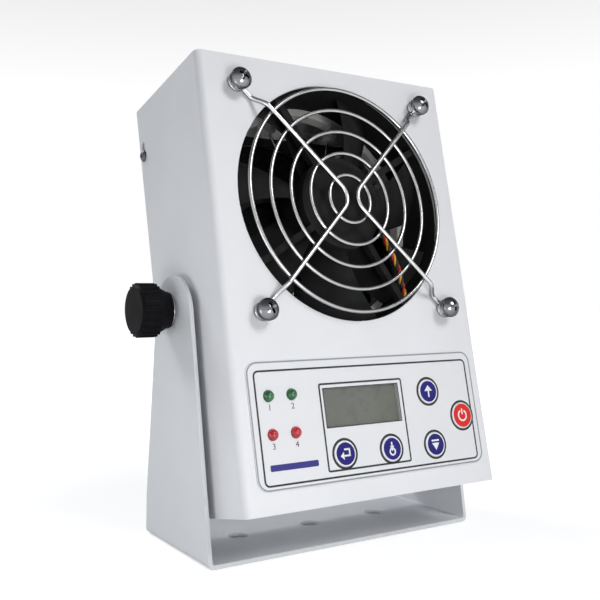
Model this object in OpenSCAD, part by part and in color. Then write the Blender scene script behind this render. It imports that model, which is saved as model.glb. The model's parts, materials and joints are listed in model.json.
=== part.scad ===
// Ionizing blower: a sheet-metal fan housing that tilts between the arms of a folded stand.
// The origin is on the bench, at the middle hole of the stand's base. +X is the viewer's right,
// +Y goes to the back and +Z is up. The housing's own frame has its origin on the tilt axis.

/* [Stand] */
// Outer width of the stand, across its arms
stand_w = 152; // [151:0.5:158]
// Depth of the stand's base
base_depth = 69; // [66:1:80]
// Thickness of the stand's sheet
stand_sheet = 2; // [1.5:0.1:2]
// Outer bend radius of the stand
stand_bend_r = 3; // [2.5:0.5:6]
// Height of the tilt axis above the bench
pivot_z = 112; // [110:1:125]
// Distance of the tilt axis behind the middle of the base
pivot_y = 4; // [0:0.5:6]
// Radius of the rounded top of each arm
arm_top_r = 18.5; // [16:0.5:20]
// Pitch of the three mounting holes in the base
base_hole_pitch = 42; // [35:1:50]
// Diameter of the mounting holes
base_hole_d = 10; // [5:0.5:12]

/* [Housing] */
// How far the top leans back at rest, in degrees
rest_tilt = 12; // [0:1:30]
// Width of the housing
housing_w = 142; // [140:1:144]
// Height of the housing's front
housing_h = 205; // [204:1:208]
// Depth of the housing
housing_d = 69.5; // [68:0.5:80]
// Height of the tilt axis above the housing's bottom
pivot_up = 96; // [94:0.5:98]
// Distance of the tilt axis behind the housing's front
pivot_back = 43.5; // [40:0.5:46]
// Thickness of the housing's sheet
sheet = 1.2; // [1:0.1:1.5]
// Outer bend radius of the housing's front corners
bend_r = 3.5; // [2.5:0.5:5]

/* [Fan and guard] */
// Side of the fan frame
fan_size = 120; // [119:0.5:120]
// Depth of the fan frame
fan_depth = 25; // [25:0.5:26]
// Pitch of the fan's four screws
fan_pitch = 105; // [104.8:0.1:105.2]
// Diameter of the fan's bore
fan_bore = 115.2; // [114:0.2:116]
// Height of the fan's axis above the tilt axis
fan_up = 42.5; // [41:0.5:44]
// Number of impeller blades
blades = 7; // [5:1:9]
// Diameter of the guard's ring wire
ring_wire = 1.9; // [1.6:0.1:2.2]
// Diameter of the guard's spoke wire
spoke_wire = 2.2; // [1.8:0.1:2.4]
// Radius of the guard's outermost ring
guard_r = 54; // [52:0.5:55]
// Step in radius from one ring to the next
guard_step = 10.6; // [10:0.1:10.8]
// Height of the rings above the housing's front
guard_rise = 4.7; // [4:0.1:6]

/* [Control panel] */
// Width of the panel overlay
panel_w = 129; // [127:1:132]
// Height of the panel overlay
panel_h = 55; // [54:1:56]
// Depth of the panel's middle below the tilt axis
panel_down = 59; // [58:0.5:60]
// Diameter of a key
key_d = 11.6; // [10:0.2:12]
// Diameter of the power key
power_key_d = 12.6; // [11:0.2:13]
// Travel of a key
key_travel = 0.5; // [0.3:0.1:0.5]
// Diameter of a lamp
lamp_d = 5; // [4:0.5:5]
// Width of the display window
display_w = 42; // [38:1:42]
// Height of the display window
display_h = 16.8; // [15:0.1:18]

/* [Knobs] */
// Diameter of a hand knob over its ribs
knob_d = 25; // [22:0.5:30]
// Length of a hand knob
knob_len = 16.5; // [16:0.5:20]
// Number of ribs round a knob
knob_ribs = 24; // [16:2:30]
// Diameter of the threaded stud
stud_d = 6; // [5:0.5:6]

/* [Hidden] */
$fn = 64;

// Colours
coat = [0.86, 0.87, 0.89];
stand_coat = [0.78, 0.79, 0.81];
black_plastic = [0.06, 0.06, 0.07];
bright_steel = [0.75, 0.76, 0.78];
dark_steel = [0.2, 0.2, 0.22];
brass = [0.78, 0.62, 0.3];
board_green = [0.05, 0.3, 0.15];
key_blue = [0.16, 0.12, 0.5];
key_red = [0.85, 0.2, 0.16];

// Clearances
slack = 0.05;         // flat faces and running fits
play = 0.3;           // pieces that slide past each other
eps = 1;              // how far a cutter runs past the face it cuts

// Housing
rear_y = housing_d - pivot_back;
inner_x = housing_w / 2 - sheet;
floor_z = -pivot_up + sheet;
ceiling_z = housing_h - pivot_up - sheet;
cover_flange = 12;
cover_screw_y = rear_y - 4;
cover_screw_zs = [-78, 84];
cover_screw_r = 1.5;
air_hole_r = fan_bore / 2;

// Stand
arm_inner_x = stand_w / 2 - stand_sheet;
arm_top = [0.5, pivot_z - 2.5];
arm_knee = [base_depth / 2 - 1, 18];
stud_hole_r = stud_d / 2 + play;

// Panel, in panel places: x to the right and y up from the panel's middle
overlay_t = 0.6;
panel_corner_r = 5.5;
key_flange = 1.4;
key_flange_t = 1;
key_rise = 1.1;
key_edge = 0.4;
key_stem_r = 2;
up_spot = [34.5, 8.9];
down_spot = [34.5, -16.4];
menu_spot = [-18.5, -15.5];
enter_spot = [8, -15.9];
power_spot = [54.2, -4.1];
key_spots = [up_spot, down_spot, menu_spot, enter_spot, power_spot];
lamp_xs = [-54.5, -42.8];
green_y = 12.5;
red_y = -4;
display_spot = [-5, 5.2];
board_front = -10.2;
board_t = 1.6;
board_size = [122, 50];
board_bolts = [57, 21];
// Place and size of the fan plug, the controller chip and the high-voltage plug on its back
board_parts = [[[36, 14], [8, 6, 6]], [[-10, -8], [14, 14, 1.4]], [[36, -14], [10, 6, 5]]];
switch_h = 3.5;
switch_size = 6;
plunger_r = 1.75;
plunger_h = 0.15;
switch_gap = 0.2;
lamp_body_h = 7;
lamp_rim = 0.4;
lamp_rim_t = 1;
lamp_wire_r = 0.3;
lamp_wire_x = 1.27;

// Guard
eye_r = 3.3;
eye_wire = spoke_wire + 0.06;      // flattened a little by the bend
eye_z = eye_wire / 2 + slack;
spoke_rise = guard_rise + (ring_wire + spoke_wire) / 2 - 0.15;
spoke_fillet_r = 7.7;
spoke_shoulder = guard_r + 3;
spoke_foot = 66;
guard_washer_r = 4.6;
washer_t = 1;
spring_washer_r = 3.9;
spring_washer_t = 1.6;
guard_head_r = 5;
guard_head_h = 4.2;
washer_z = eye_z + eye_wire / 2 + slack;
head_at = washer_z + washer_t + spring_washer_t;

// Fan, with z = 0 at its back and z = fan_depth at its front
m4_r = 1.95;
m4_hole_r = 2.15;
flange_t = 4;
duct_wall = 1.6;
hub_r = 22;
hub_wall = 2;
hub_back = 2;
hub_front = 20.3;
base_r = 22.5;
base_t = 3.5;
base_z = fan_depth - 0.5 - base_t;
strut_w = 3.2;
strut_turn = 30;
tube_r = 5;
tube_z = 8;
bearing_r = 4;
bearing_t = 3;
shaft_r = 1.5;
stator_r = 16.8;
stator_h = 9;
stator_slot_at = 12;
stator_slot_r = 3.4;
stator_mouth = 1.6;
blade_root_r = hub_r - 1;
blade_tip_r = fan_bore / 2 - 1.1;
blade_mid_z = 11.6;
blade_stations = 5;
blade_steps = 6;
nut_t = 3.2;
nut_d = 8.08;
lead_r = 1.4;
lead_exit = [36, -48.5];
lead_exit_z = 19.5;
lead_exit_size = [7, 7, 7];

// Ionizer
emitter_t = 6;
emitter_outer_r = 58.5;
emitter_inner_r = 54;
ear_w = 9;
ear_from = 57;
ear_short = 2.6;      // each ear stops short of its screw's axis
ear_r = 5.5;
needles = 8;
needle_r = 0.6;
needle_tip = 37;
needle_taper = 4;
needle_len = 12;
boss_at = 47;
boss_size = [8, 4.8];
terminal_turn = -60;
terminal_size = [8, 8];
hv_at = [14, -22];
hv_size = [50, 32, 28];
hv_post = [52, -6];
hv_post_r = 4;
hv_post_h = 4;

// Supply
supply_at = [-66, -24];
supply_size = [74, 30];
supply_rise = 6.8;
supply_bolt_in = 4;
core_at = [-22, -20];
core_size = [24, 22, 4];
coil_at = [4, 3];
coil_size = [16, 16, 12];
// Each capacitor's place, radius and height
capacitor_rows = [[-53, -12, 7, 20], [-36, -12, 5, 14]];
supply_z = floor_z + supply_rise;

// Rear
inlet_spot = [-38, -62];
inlet_flange = [50, 34];
inlet_body = [27, 31];
inlet_flange_h = 3;
inlet_depth = 17;
inlet_screw_x = 20;
inlet_hole_r = 1.7;
socket_size = [24.2, 16.4];
socket_up = 5.8;
pin_spots = [[-7, -1.6], [0, 2.4], [7, -1.6]];
pin_size = [2, 4];
drawer_size = [22, 7.6];
drawer_down = 10.2;
drawer_in = 14;
drawer_out = 3.2;
fuse_r = 2.5;
fuse_len = 20;
fuse_cap = 5;
earth_spot = [24, -74];
filter_d = 119.4;
filter_frame_t = 3.5;
foam_t = 4;
cover_out = 10;
cover_wall = 2;
cover_gap = 0.6;
slat_pitch = 6.4;
slat_w = 2.2;
slats = 17;
rail_x = 26;
rail_size = [3, 1.2];

// Knobs, with z outward from the tilt axis's middle
washer_h = 1;
knob_z = stand_w / 2 + washer_h + 2 * slack;
collar_r = 8.5;
collar_h = 0.8;
grip_at = 6;
grip_r = knob_d / 2 - 0.6;
grip_edge = 1.2;
rib_r = 0.9;
rib_in = 0.3;
knob_washer_r = 8.2;
stud_inner = inner_x - 7;
stud_outer = knob_z + 11;

// ---------- shared forms ----------

// Rectangle with round corners, about its middle
module rounded_rect(size, r) {
    square([size[0] - 2 * r, size[1]], center = true);
    square([size[0], size[1] - 2 * r], center = true);
    for (x = [-1, 1], y = [-1, 1])
        translate([x * (size[0] / 2 - r), y * (size[1] / 2 - r)]) circle(r);
}

// Slot with round ends, standing up from the middle of its lower end
module upright_slot(length, r) {
    translate([-r, 0]) square([2 * r, length]);
    for (y = [0, length]) translate([0, y]) circle(r);
}

// Plan of a box whose two front corners are round; the front edge is on the x axis
module front_rounded(w, d, r) {
    translate([-w / 2 + r, 0]) square([w - 2 * r, r]);
    translate([-w / 2, r]) square([w, d - r]);
    for (side = [-1, 1]) translate([side * (w / 2 - r), r]) circle(r);
}

// Four places at the corners of a square
module at_corners(pitch) {
    for (x = [-1, 1], y = [-1, 1]) translate([x * pitch / 2, y * pitch / 2, 0]) children();
}

// Point at u (0 to 1) of the smooth curve from b to c, with a and d as the points beside them
function curve_point(a, b, c, d, u) =
    0.5 * (2 * b + (c - a) * u + (2 * a - 5 * b + 4 * c - d) * u * u
        + (3 * b - a - 3 * c + d) * u * u * u);

// Smooth route through a list of points, with steps points for each stretch
function smooth_route(points, steps) =
    let (last = len(points) - 1)
    [for (i = [0 : last - 1], k = [0 : steps - 1])
        curve_point(points[max(i - 1, 0)], points[i], points[i + 1], points[min(i + 2, last)], k / steps),
        points[last]];

// Triangles of the wall between rings of n points, for a body of count rings
function ring_walls(n, count) =
    [for (i = [0 : count - 2], k = [0 : n - 1])
        let (a = i * n + k, b = i * n + (k + 1) % n)
        each [[b, a, a + n], [b, a + n, b + n]]];

// Round tube swept along a route of points, its rings held square to the run
module tube(route, r, sides) {
    last = len(route) - 1;
    rings = [for (i = [0 : last])
        let (
            run = route[min(i + 1, last)] - route[max(i - 1, 0)],
            along = run / norm(run),
            across = cross(along, [0.31, 0.22, 0.92]),
            u = across / norm(across),
            v = cross(along, u)
        )
        for (k = [0 : sides - 1]) route[i] + r * (cos(360 * k / sides) * u + sin(360 * k / sides) * v)];
    start_cap = [for (k = [0 : sides - 1]) k];
    end_cap = [for (k = [sides - 1 : -1 : 0]) last * sides + k];
    polyhedron(rings, concat(ring_walls(sides, last + 1), [start_cap, end_cap]));
}

// Flexible lead through a list of points
module lead(points, r) {
    tube(smooth_route(points, 4), r, 8);
}

// Ring of rectangular section
module ring(outer_r, inner_r, h) {
    difference() {
        cylinder(r = outer_r, h = h);
        translate([0, 0, -eps]) cylinder(r = inner_r, h = h + 2 * eps);
    }
}

// Hexagon nut with a round bore, standing on z = 0
module nut(across_corners, h, bore_r) {
    difference() {
        cylinder(d = across_corners, h = h, $fn = 6);
        translate([0, 0, -eps]) cylinder(r = bore_r, h = h + 2 * eps);
    }
}

// Pan-head screw: the head rises from z = 0, straight-sided under its crown, and the shank goes down
module pan_screw(head_r, head_h, shank_r, length) {
    crown_h = 0.7 * head_h;
    crown_r = (head_r * head_r + crown_h * crown_h) / (2 * crown_h);
    intersection() {
        cylinder(r = head_r, h = head_h);
        translate([0, 0, head_h - crown_r]) sphere(crown_r);
    }
    translate([0, 0, -length]) cylinder(r = shank_r, h = length);
}

// Point where a line from p touches the circle at c; side picks one of the two
function touch(p, c, r, side) =
    let (to_p = atan2(p[1] - c[1], p[0] - c[0]), lean = acos(r / norm(p - c)))
    c + r * [cos(to_p + side * lean), sin(to_p + side * lean)];

// ---------- frames ----------

// The housing's own frame, leaning back at rest
module in_housing() {
    translate([0, pivot_y, pivot_z]) rotate([-rest_tilt, 0, 0]) children();
}

// On the housing's front: x right, y up and z out of the front
module on_front(up) {
    in_housing() translate([0, -pivot_back, up]) rotate([90, 0, 0]) children();
}

// On the housing's back: x right as seen from behind, y up and z out of the back
module on_back(x, up) {
    in_housing() translate([x, rear_y, up]) rotate([90, 0, 180]) children();
}

// On the control panel
module on_panel() {
    on_front(-panel_down) children();
}

// On the front, round the fan's axis
module on_fan_front() {
    on_front(fan_up) children();
}

// In the fan, with z = 0 at its back
module in_fan() {
    on_fan_front() translate([0, 0, -sheet - fan_depth]) children();
}

// On the tilt axis, with z outward; side is -1 on the left and 1 on the right
module on_pivot(side) {
    translate([0, pivot_y, pivot_z]) rotate([0, side * 90, 0]) children();
}

// ---------- stand ----------

module stand_section() {
    w = stand_w / 2;
    difference() {
        translate([0, pivot_z]) mirror([0, 1]) {
            translate([-w, -arm_top_r]) square([stand_w, pivot_z + arm_top_r - stand_bend_r]);
            translate([-w + stand_bend_r, 0]) square([stand_w - 2 * stand_bend_r, pivot_z]);
            for (side = [-1, 1])
                translate([side * (w - stand_bend_r), pivot_z - stand_bend_r]) circle(stand_bend_r);
        }
        inner_r = stand_bend_r - stand_sheet;
        translate([-arm_inner_x, stand_bend_r]) square([2 * arm_inner_x, 2 * pivot_z]);
        translate([-w + stand_bend_r, stand_sheet])
            square([stand_w - 2 * stand_bend_r, 2 * pivot_z]);
        for (side = [-1, 1]) translate([side * (w - stand_bend_r), stand_bend_r]) circle(inner_r);
    }
}

module arm_outline() {
    front_foot = [-base_depth / 2, 0];
    translate(arm_top) circle(arm_top_r);
    polygon([
        front_foot, [base_depth / 2, 0], arm_knee,
        touch(arm_knee, arm_top, arm_top_r, 1), touch(front_foot, arm_top, arm_top_r, -1)
    ]);
}

module stand() {
    color(stand_coat) difference() {
        intersection() {
            rotate([90, 0, 0]) linear_extrude(base_depth, center = true) stand_section();
            rotate([90, 0, 90]) linear_extrude(stand_w, center = true) arm_outline();
        }
        for (i = [-1 : 1]) translate([i * base_hole_pitch, 0, -eps])
            cylinder(d = base_hole_d, h = stand_sheet + 2 * eps);
        on_pivot(1) cylinder(r = stud_hole_r, h = stand_w + 2 * eps, center = true);
    }
}

// ---------- housing ----------

module panel_holes(depth) {
    for (spot = key_spots) translate([spot[0], spot[1], -depth])
        cylinder(r = key_r(spot) + play, h = 2 * depth);
    for (x = lamp_xs, y = [green_y, red_y])
        translate([x, y, -depth]) cylinder(d = lamp_d + 0.2, h = 2 * depth);
    translate([display_spot[0], display_spot[1], 0])
        cube([display_w + 0.2, display_h + 0.2, 2 * depth], center = true);
}

module front_shell() {
    color(coat) difference() {
        in_housing() difference() {
            translate([0, -pivot_back, -pivot_up])
                linear_extrude(housing_h) front_rounded(housing_w, housing_d, bend_r);
            translate([0, -pivot_back + sheet, floor_z])
                linear_extrude(housing_h - 2 * sheet)
                    front_rounded(2 * inner_x, housing_d, bend_r - sheet);
            rotate([0, 90, 0]) cylinder(r = stud_hole_r, h = housing_w + 2 * eps, center = true);
            for (side = [-1, 1], z = cover_screw_zs)
                translate([side * (inner_x - eps), cover_screw_y, z]) rotate([90, 0, side * 90])
                    linear_extrude(sheet + 2 * eps) upright_slot(5.5, cover_screw_r + 0.2);
        }
        on_fan_front() {
            translate([0, 0, -2 * eps - sheet]) cylinder(r = air_hole_r, h = sheet + 4 * eps);
            at_corners(fan_pitch) translate([0, 0, -2 * eps - sheet])
                cylinder(r = m4_hole_r, h = sheet + 4 * eps);
        }
        on_panel() panel_holes(sheet + eps);
    }
}

module rear_cover() {
    half_w = inner_x - 0.2;
    cover_h = housing_h - 2 * sheet - 0.4;
    color(coat) difference() {
        in_housing() difference() {
            translate([-half_w, rear_y - cover_flange, floor_z + 0.2])
                cube([2 * half_w, cover_flange, cover_h]);
            translate([-half_w + sheet, rear_y - cover_flange - eps, floor_z - eps])
                cube([2 * (half_w - sheet), cover_flange + eps - sheet, housing_h]);
            for (side = [-1, 1], z = cover_screw_zs)
                translate([side * half_w, cover_screw_y, z]) rotate([0, 90, 0])
                    cylinder(r = cover_screw_r + slack, h = 4 * sheet, center = true);
        }
        on_back(0, fan_up) {
            translate([0, 0, -sheet - eps]) cylinder(r = filter_d / 2 - 5, h = sheet + 2 * eps);
            at_corners(fan_pitch) translate([0, 0, -sheet - eps])
                cylinder(r = m4_hole_r, h = sheet + 2 * eps);
        }
        on_back(inlet_spot[0], inlet_spot[1]) {
            cube([inlet_body[0] + 0.2, inlet_body[1] + 0.2, 4 * sheet], center = true);
            for (side = [-1, 1]) translate([side * inlet_screw_x, 0, 0])
                cylinder(r = inlet_hole_r, h = 4 * sheet, center = true);
        }
        on_back(earth_spot[0], earth_spot[1]) cylinder(r = 2.2, h = 4 * sheet, center = true);
    }
}

module cover_screws() {
    color(dark_steel) in_housing() for (side = [-1, 1], z = cover_screw_zs)
        translate([side * (housing_w / 2 + slack), cover_screw_y, z])
            rotate([0, side * 90, 0]) pan_screw(2.9, 1.8, cover_screw_r, 6);
}

module pivot_nuts() {
    color(bright_steel) for (side = [-1, 1]) on_pivot(side)
        translate([0, 0, inner_x - 7]) nut(13, 7, stud_d / 2 + slack);
}

module friction_discs() {
    color(black_plastic) for (side = [-1, 1]) on_pivot(side)
        translate([0, 0, housing_w / 2])
            ring(10, stud_hole_r, arm_inner_x - housing_w / 2 - slack);
}

// ---------- control panel ----------

module panel_overlay() {
    color([0.9, 0.91, 0.92]) on_panel() difference() {
        linear_extrude(overlay_t) rounded_rect([panel_w, panel_h], panel_corner_r);
        panel_holes(sheet);
    }
}

module display_window() {
    color([0.43, 0.44, 0.39]) on_panel()
        translate([display_spot[0], display_spot[1], (overlay_t - sheet) / 2])
            cube([display_w, display_h, overlay_t + sheet - 0.2], center = true);
}

module display_module() {
    bezel = [46, 22, 5.7];
    carrier = [50, 26, 1.2];
    pins = [30, 2.5, -board_front - sheet - slack - bezel[2] - carrier[2]];
    pins_up = 9;
    color([0.15, 0.2, 0.15]) on_panel()
        translate([display_spot[0], display_spot[1], board_front]) {
            translate([0, pins_up, pins[2] / 2]) cube(pins, center = true);
            translate([0, 0, pins[2] + carrier[2] / 2]) cube(carrier, center = true);
            translate([0, 0, pins[2] + carrier[2] + bezel[2] / 2]) cube(bezel, center = true);
        }
}

module control_board() {
    color(board_green) on_panel() {
        translate([0, 0, board_front - board_t]) difference() {
            linear_extrude(board_t) square(board_size, center = true);
            for (x = [-1, 1], y = [-1, 1])
                translate([x * board_bolts[0], y * board_bolts[1], -eps])
                    cylinder(r = 1.6, h = board_t + 2 * eps);
        }
        for (part = board_parts) translate([part[0][0], part[0][1], board_front - board_t - part[1][2]])
            cube(part[1]);
    }
}

module board_standoffs() {
    color(bright_steel) on_panel() for (x = [-1, 1], y = [-1, 1])
        translate([x * board_bolts[0], y * board_bolts[1], board_front])
            ring(3, 1.5, -board_front - sheet);
}

module board_screws() {
    color(bright_steel) on_panel() for (x = [-1, 1], y = [-1, 1])
        translate([x * board_bolts[0], y * board_bolts[1], board_front - board_t])
            mirror([0, 0, 1]) pan_screw(2.8, 2, 1.45, 6.5);
}

module tact_switches() {
    color(dark_steel) on_panel() for (spot = key_spots)
        translate([spot[0], spot[1], board_front]) {
            translate([0, 0, switch_h / 2]) cube([switch_size, switch_size, switch_h], center = true);
            cylinder(r = plunger_r, h = switch_h + plunger_h);
        }
}

module lamp() {
    r = lamp_d / 2;
    translate([0, 0, -lamp_body_h]) cylinder(r = r, h = lamp_body_h + overlay_t);
    translate([0, 0, -sheet - slack - lamp_rim_t]) cylinder(r = r + lamp_rim, h = lamp_rim_t);
    translate([0, 0, overlay_t]) intersection() {
        sphere(r);
        cylinder(r = r, h = r);
    }
    for (side = [-1, 1]) translate([side * lamp_wire_x, 0, board_front])
        cylinder(r = lamp_wire_r, h = -board_front - lamp_body_h + 0.3);
}

module green_lamps() {
    color([0.08, 0.42, 0.22]) on_panel() for (x = lamp_xs) translate([x, green_y, 0]) lamp();
}

module red_lamps() {
    color([0.75, 0.1, 0.15]) on_panel() for (x = lamp_xs) translate([x, red_y, 0]) lamp();
}

function key_r(spot) = (spot == power_spot ? power_key_d : key_d) / 2;

// A key: round cap with a soft edge, a retaining flange behind the sheet and a stem to its switch
module key(spot) {
    r = key_r(spot);
    flange_z = -sheet - slack - key_flange_t;
    stem_z = board_front + switch_h + switch_gap + key_travel;
    on_panel() translate([spot[0], spot[1], 0]) rotate_extrude() polygon([
        [0, stem_z], [key_stem_r, stem_z], [key_stem_r, flange_z], [r + key_flange, flange_z],
        [r + key_flange, flange_z + key_flange_t], [r, flange_z + key_flange_t],
        [r, key_rise - key_edge], [r - key_edge, key_rise], [0, key_rise]
    ]);
}

module up_key() {
    color(key_blue) key(up_spot);
}

module down_key() {
    color(key_blue) key(down_spot);
}

module menu_key() {
    color(key_blue) key(menu_spot);
}

module enter_key() {
    color(key_blue) key(enter_spot);
}

module power_key() {
    color(key_red) key(power_spot);
}

// ---------- finger guard ----------

// Height of a spoke's wire at a distance from the fan's axis: it comes down to the eye in a soft step
function spoke_height(s) =
    let (u = max(0, min(1, (spoke_foot - s) / (spoke_foot - spoke_shoulder))))
    eye_z + (spoke_rise - eye_z) * u * u * (3 - 2 * u);

// One half of a spoke's run, from its eye to its middle bend
function spoke_leg(side, up) =
    let (steps = 6, foot_run = spoke_foot - spoke_shoulder)
    [for (s = [fan_pitch / sqrt(2) - eye_r, for (i = [0 : steps]) spoke_foot - foot_run * i / steps,
            spoke_fillet_r + 0.5])
        [side * s / sqrt(2), up * s / sqrt(2), spoke_height(s)]];

// The middle bend of a spoke, a quarter turn round a point beside the fan's axis
function spoke_bend(side) =
    [for (a = [45 : -15 : -45])
        [side * spoke_fillet_r * (sqrt(2) - cos(a)), spoke_fillet_r * sin(a), spoke_rise]];

function reversed(points) = [for (i = [len(points) - 1 : -1 : 0]) points[i]];

module guard_rings() {
    color(bright_steel) on_fan_front() translate([0, 0, guard_rise]) for (i = [0 : 4])
        rotate_extrude() translate([guard_r - i * guard_step, 0]) circle(d = ring_wire, $fn = 24);
}

module guard_spokes() {
    color(bright_steel) on_fan_front() {
        for (side = [-1, 1])
            tube(concat(spoke_leg(side, 1), spoke_bend(side), reversed(spoke_leg(side, -1))),
                spoke_wire / 2, 12);
        at_corners(fan_pitch) translate([0, 0, eye_z])
            rotate_extrude() translate([eye_r, 0]) circle(d = eye_wire, $fn = 24);
    }
}

module guard_screws() {
    tail = sheet + fan_depth + emitter_t + nut_t + 1.5;
    color(bright_steel) on_fan_front() at_corners(fan_pitch)
        translate([0, 0, head_at]) pan_screw(guard_head_r, guard_head_h, m4_r, head_at + tail);
}

module guard_washers() {
    color(bright_steel) on_fan_front() at_corners(fan_pitch) {
        translate([0, 0, washer_z]) ring(guard_washer_r, m4_hole_r, washer_t);
        translate([0, 0, washer_z + washer_t])
            ring(spring_washer_r, m4_hole_r, spring_washer_t);
    }
}

module fan_nuts() {
    color(bright_steel) in_fan() at_corners(fan_pitch)
        translate([0, 0, -emitter_t - nut_t]) nut(nut_d, nut_t, m4_r + slack);
}

// ---------- fan ----------

module fan_frame() {
    color(black_plastic) in_fan() {
        difference() {
            union() {
                cylinder(r = fan_bore / 2 + duct_wall, h = fan_depth);
                for (z = [0, fan_depth - flange_t]) translate([0, 0, z])
                    linear_extrude(flange_t) rounded_rect([fan_size, fan_size], 4);
            }
            translate([0, 0, -eps]) cylinder(d = fan_bore, h = fan_depth + 2 * eps);
            at_corners(fan_pitch) translate([0, 0, -eps])
                cylinder(r = m4_hole_r, h = fan_depth + 2 * eps);
            translate(concat(lead_exit, lead_exit_z)) cube(lead_exit_size, center = true);
        }
        difference() {
            union() {
                translate([0, 0, base_z]) cylinder(r = base_r, h = base_t);
                translate([0, 0, tube_z]) cylinder(r = tube_r, h = base_z - tube_z + eps);
                for (i = [0 : 3]) rotate([0, 0, strut_turn + 90 * i])
                    translate([base_r - 1, 0, base_z])
                        cube([fan_bore / 2 - base_r + 1.5, strut_w, base_t]);
            }
            translate([0, 0, tube_z - eps]) cylinder(r = bearing_r + 0.02, h = base_z - tube_z + eps);
        }
    }
}

module fan_stator() {
    color([0.55, 0.35, 0.2]) in_fan() translate([0, 0, tube_z - 1]) linear_extrude(stator_h)
        difference() {
            circle(stator_r);
            circle(tube_r + 0.02);
            for (i = [0 : 3]) rotate(90 * i) {
                translate([stator_slot_at, 0]) circle(stator_slot_r);
                translate([stator_slot_at, -stator_mouth / 2]) square([stator_r, stator_mouth]);
            }
        }
}

module fan_bearings() {
    color(bright_steel) in_fan() for (z = [tube_z + 0.2, base_z - bearing_t - 0.2])
        translate([0, 0, z]) ring(bearing_r, shaft_r + slack, bearing_t);
}

// Section of a blade at radius r: over the pressure face and back along the suction face
function blade_section(r) =
    let (
        s = (r - blade_root_r) / (blade_tip_r - blade_root_r),
        chord = 21 + 13 * s,
        pitch = 47 - 21 * s,
        lean = 14 * s
    )
    [for (face = [1, -1], i = [0 : blade_steps])
        let (
            u = face > 0 ? i / blade_steps : 1 - i / blade_steps,
            along = (u - 0.5) * chord,
            half_t = (0.75 - 0.25 * s) * (0.35 + 0.65 * sin(180 * u)),
            off = 0.32 * chord * u * (1 - u) + face * half_t,
            round = lean + (along * cos(pitch) - off * sin(pitch)) / r * 180 / PI
        )
        [r * cos(round), r * sin(round), along * sin(pitch) + off * cos(pitch)]];

module blade() {
    n = 2 * (blade_steps + 1);
    span = blade_tip_r - blade_root_r;
    tip = blade_stations * n;
    points = [for (i = [0 : blade_stations]) each blade_section(blade_tip_r - span * i / blade_stations)];
    caps = [for (k = [0 : blade_steps - 1])
        each [
            [k, k + 1, n - 1 - k], [k + 1, n - 2 - k, n - 1 - k],
            [tip + n - 1 - k, tip + k + 1, tip + k], [tip + n - 1 - k, tip + n - 2 - k, tip + k + 1]
        ]];
    polyhedron(points, concat(ring_walls(n, blade_stations + 1), caps));
}

module impeller() {
    color(black_plastic) in_fan() {
        difference() {
            translate([0, 0, hub_back]) cylinder(r = hub_r, h = hub_front - hub_back);
            translate([0, 0, hub_back + hub_wall]) cylinder(r = hub_r - hub_wall, h = fan_depth);
        }
        translate([0, 0, hub_back + hub_wall - 0.5]) ring(3.6, shaft_r + 0.02, 2.5);
        for (i = [0 : blades - 1]) rotate([0, 0, i * 360 / blades])
            translate([0, 0, blade_mid_z]) blade();
    }
}

module fan_shaft() {
    color(bright_steel) in_fan() translate([0, 0, hub_back + hub_wall])
        cylinder(r = shaft_r, h = base_z - hub_back - hub_wall - 0.4);
}

module magnet_ring() {
    color(dark_steel) in_fan() translate([0, 0, 5]) ring(hub_r - hub_wall - 0.02, 17.5, 13);
}

module fan_lead() {
    color([0.75, 0.5, 0.1]) in_fan() lead([
        [19.5, -14, base_z + base_t + lead_r + slack],
        [26, -20, 22.6],
        [30.5, -30, 22.4],
        [33, -42, 21.5],
        [36, -48.5, 18.5],
        [40, -62, 12],
        [40, -78, 11.4]
    ], lead_r);
}

// ---------- ionizer ----------

module emitter_ring() {
    color([0.92, 0.92, 0.9]) in_fan() translate([0, 0, -emitter_t]) difference() {
        union() {
            ring(emitter_outer_r, emitter_inner_r, emitter_t);
            for (i = [0 : 3]) rotate([0, 0, 45 + 90 * i]) translate([ear_from, -ear_w / 2, 0])
                cube([fan_pitch / sqrt(2) - ear_from - ear_short, ear_w, emitter_t]);
            at_corners(fan_pitch) cylinder(r = ear_r, h = emitter_t);
            at_needles() translate([boss_at, -boss_size[1] / 2, 0])
                cube([boss_size[0], boss_size[1], emitter_t]);
            rotate([0, 0, terminal_turn])
                translate([emitter_outer_r - 2.5, -terminal_size[1] / 2, 0])
                    cube([terminal_size[0], terminal_size[1], emitter_t]);
        }
        at_corners(fan_pitch) translate([0, 0, -eps])
            cylinder(r = m4_hole_r, h = emitter_t + 2 * eps);
        at_needles() translate([boss_at - eps, 0, emitter_t / 2])
            rotate([0, 90, 0]) cylinder(r = needle_r + 0.02, h = boss_size[0]);
    }
}

// Puts its child at each needle, with x outward from the fan's axis
module at_needles() {
    for (i = [0 : needles - 1]) rotate([0, 0, (i + 0.5) * 360 / needles]) children();
}

module emitter_needles() {
    color(bright_steel) in_fan() at_needles() translate([needle_tip, 0, -emitter_t / 2])
        rotate([0, 90, 0]) {
            cylinder(r1 = 0.05, r2 = needle_r, h = needle_taper);
            translate([0, 0, needle_taper]) cylinder(r = needle_r, h = needle_len);
        }
}

module hv_module() {
    color([0.12, 0.13, 0.16]) in_housing() {
        translate([hv_at[0], hv_at[1], floor_z]) cube(hv_size);
        translate([hv_post[0], hv_post[1], floor_z + hv_size[2]])
            cylinder(r = hv_post_r, h = hv_post_h);
    }
}

module hv_cable() {
    color([0.7, 0.12, 0.1]) in_housing() lead([
        [hv_post[0], hv_post[1], floor_z + hv_size[2] + hv_post_h + slack],
        [hv_post[0], hv_post[1], -44],
        [42, -12, -28],
        [33.5, -14.3, -18.5]
    ], 1.8);
}

// ---------- supply ----------

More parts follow.
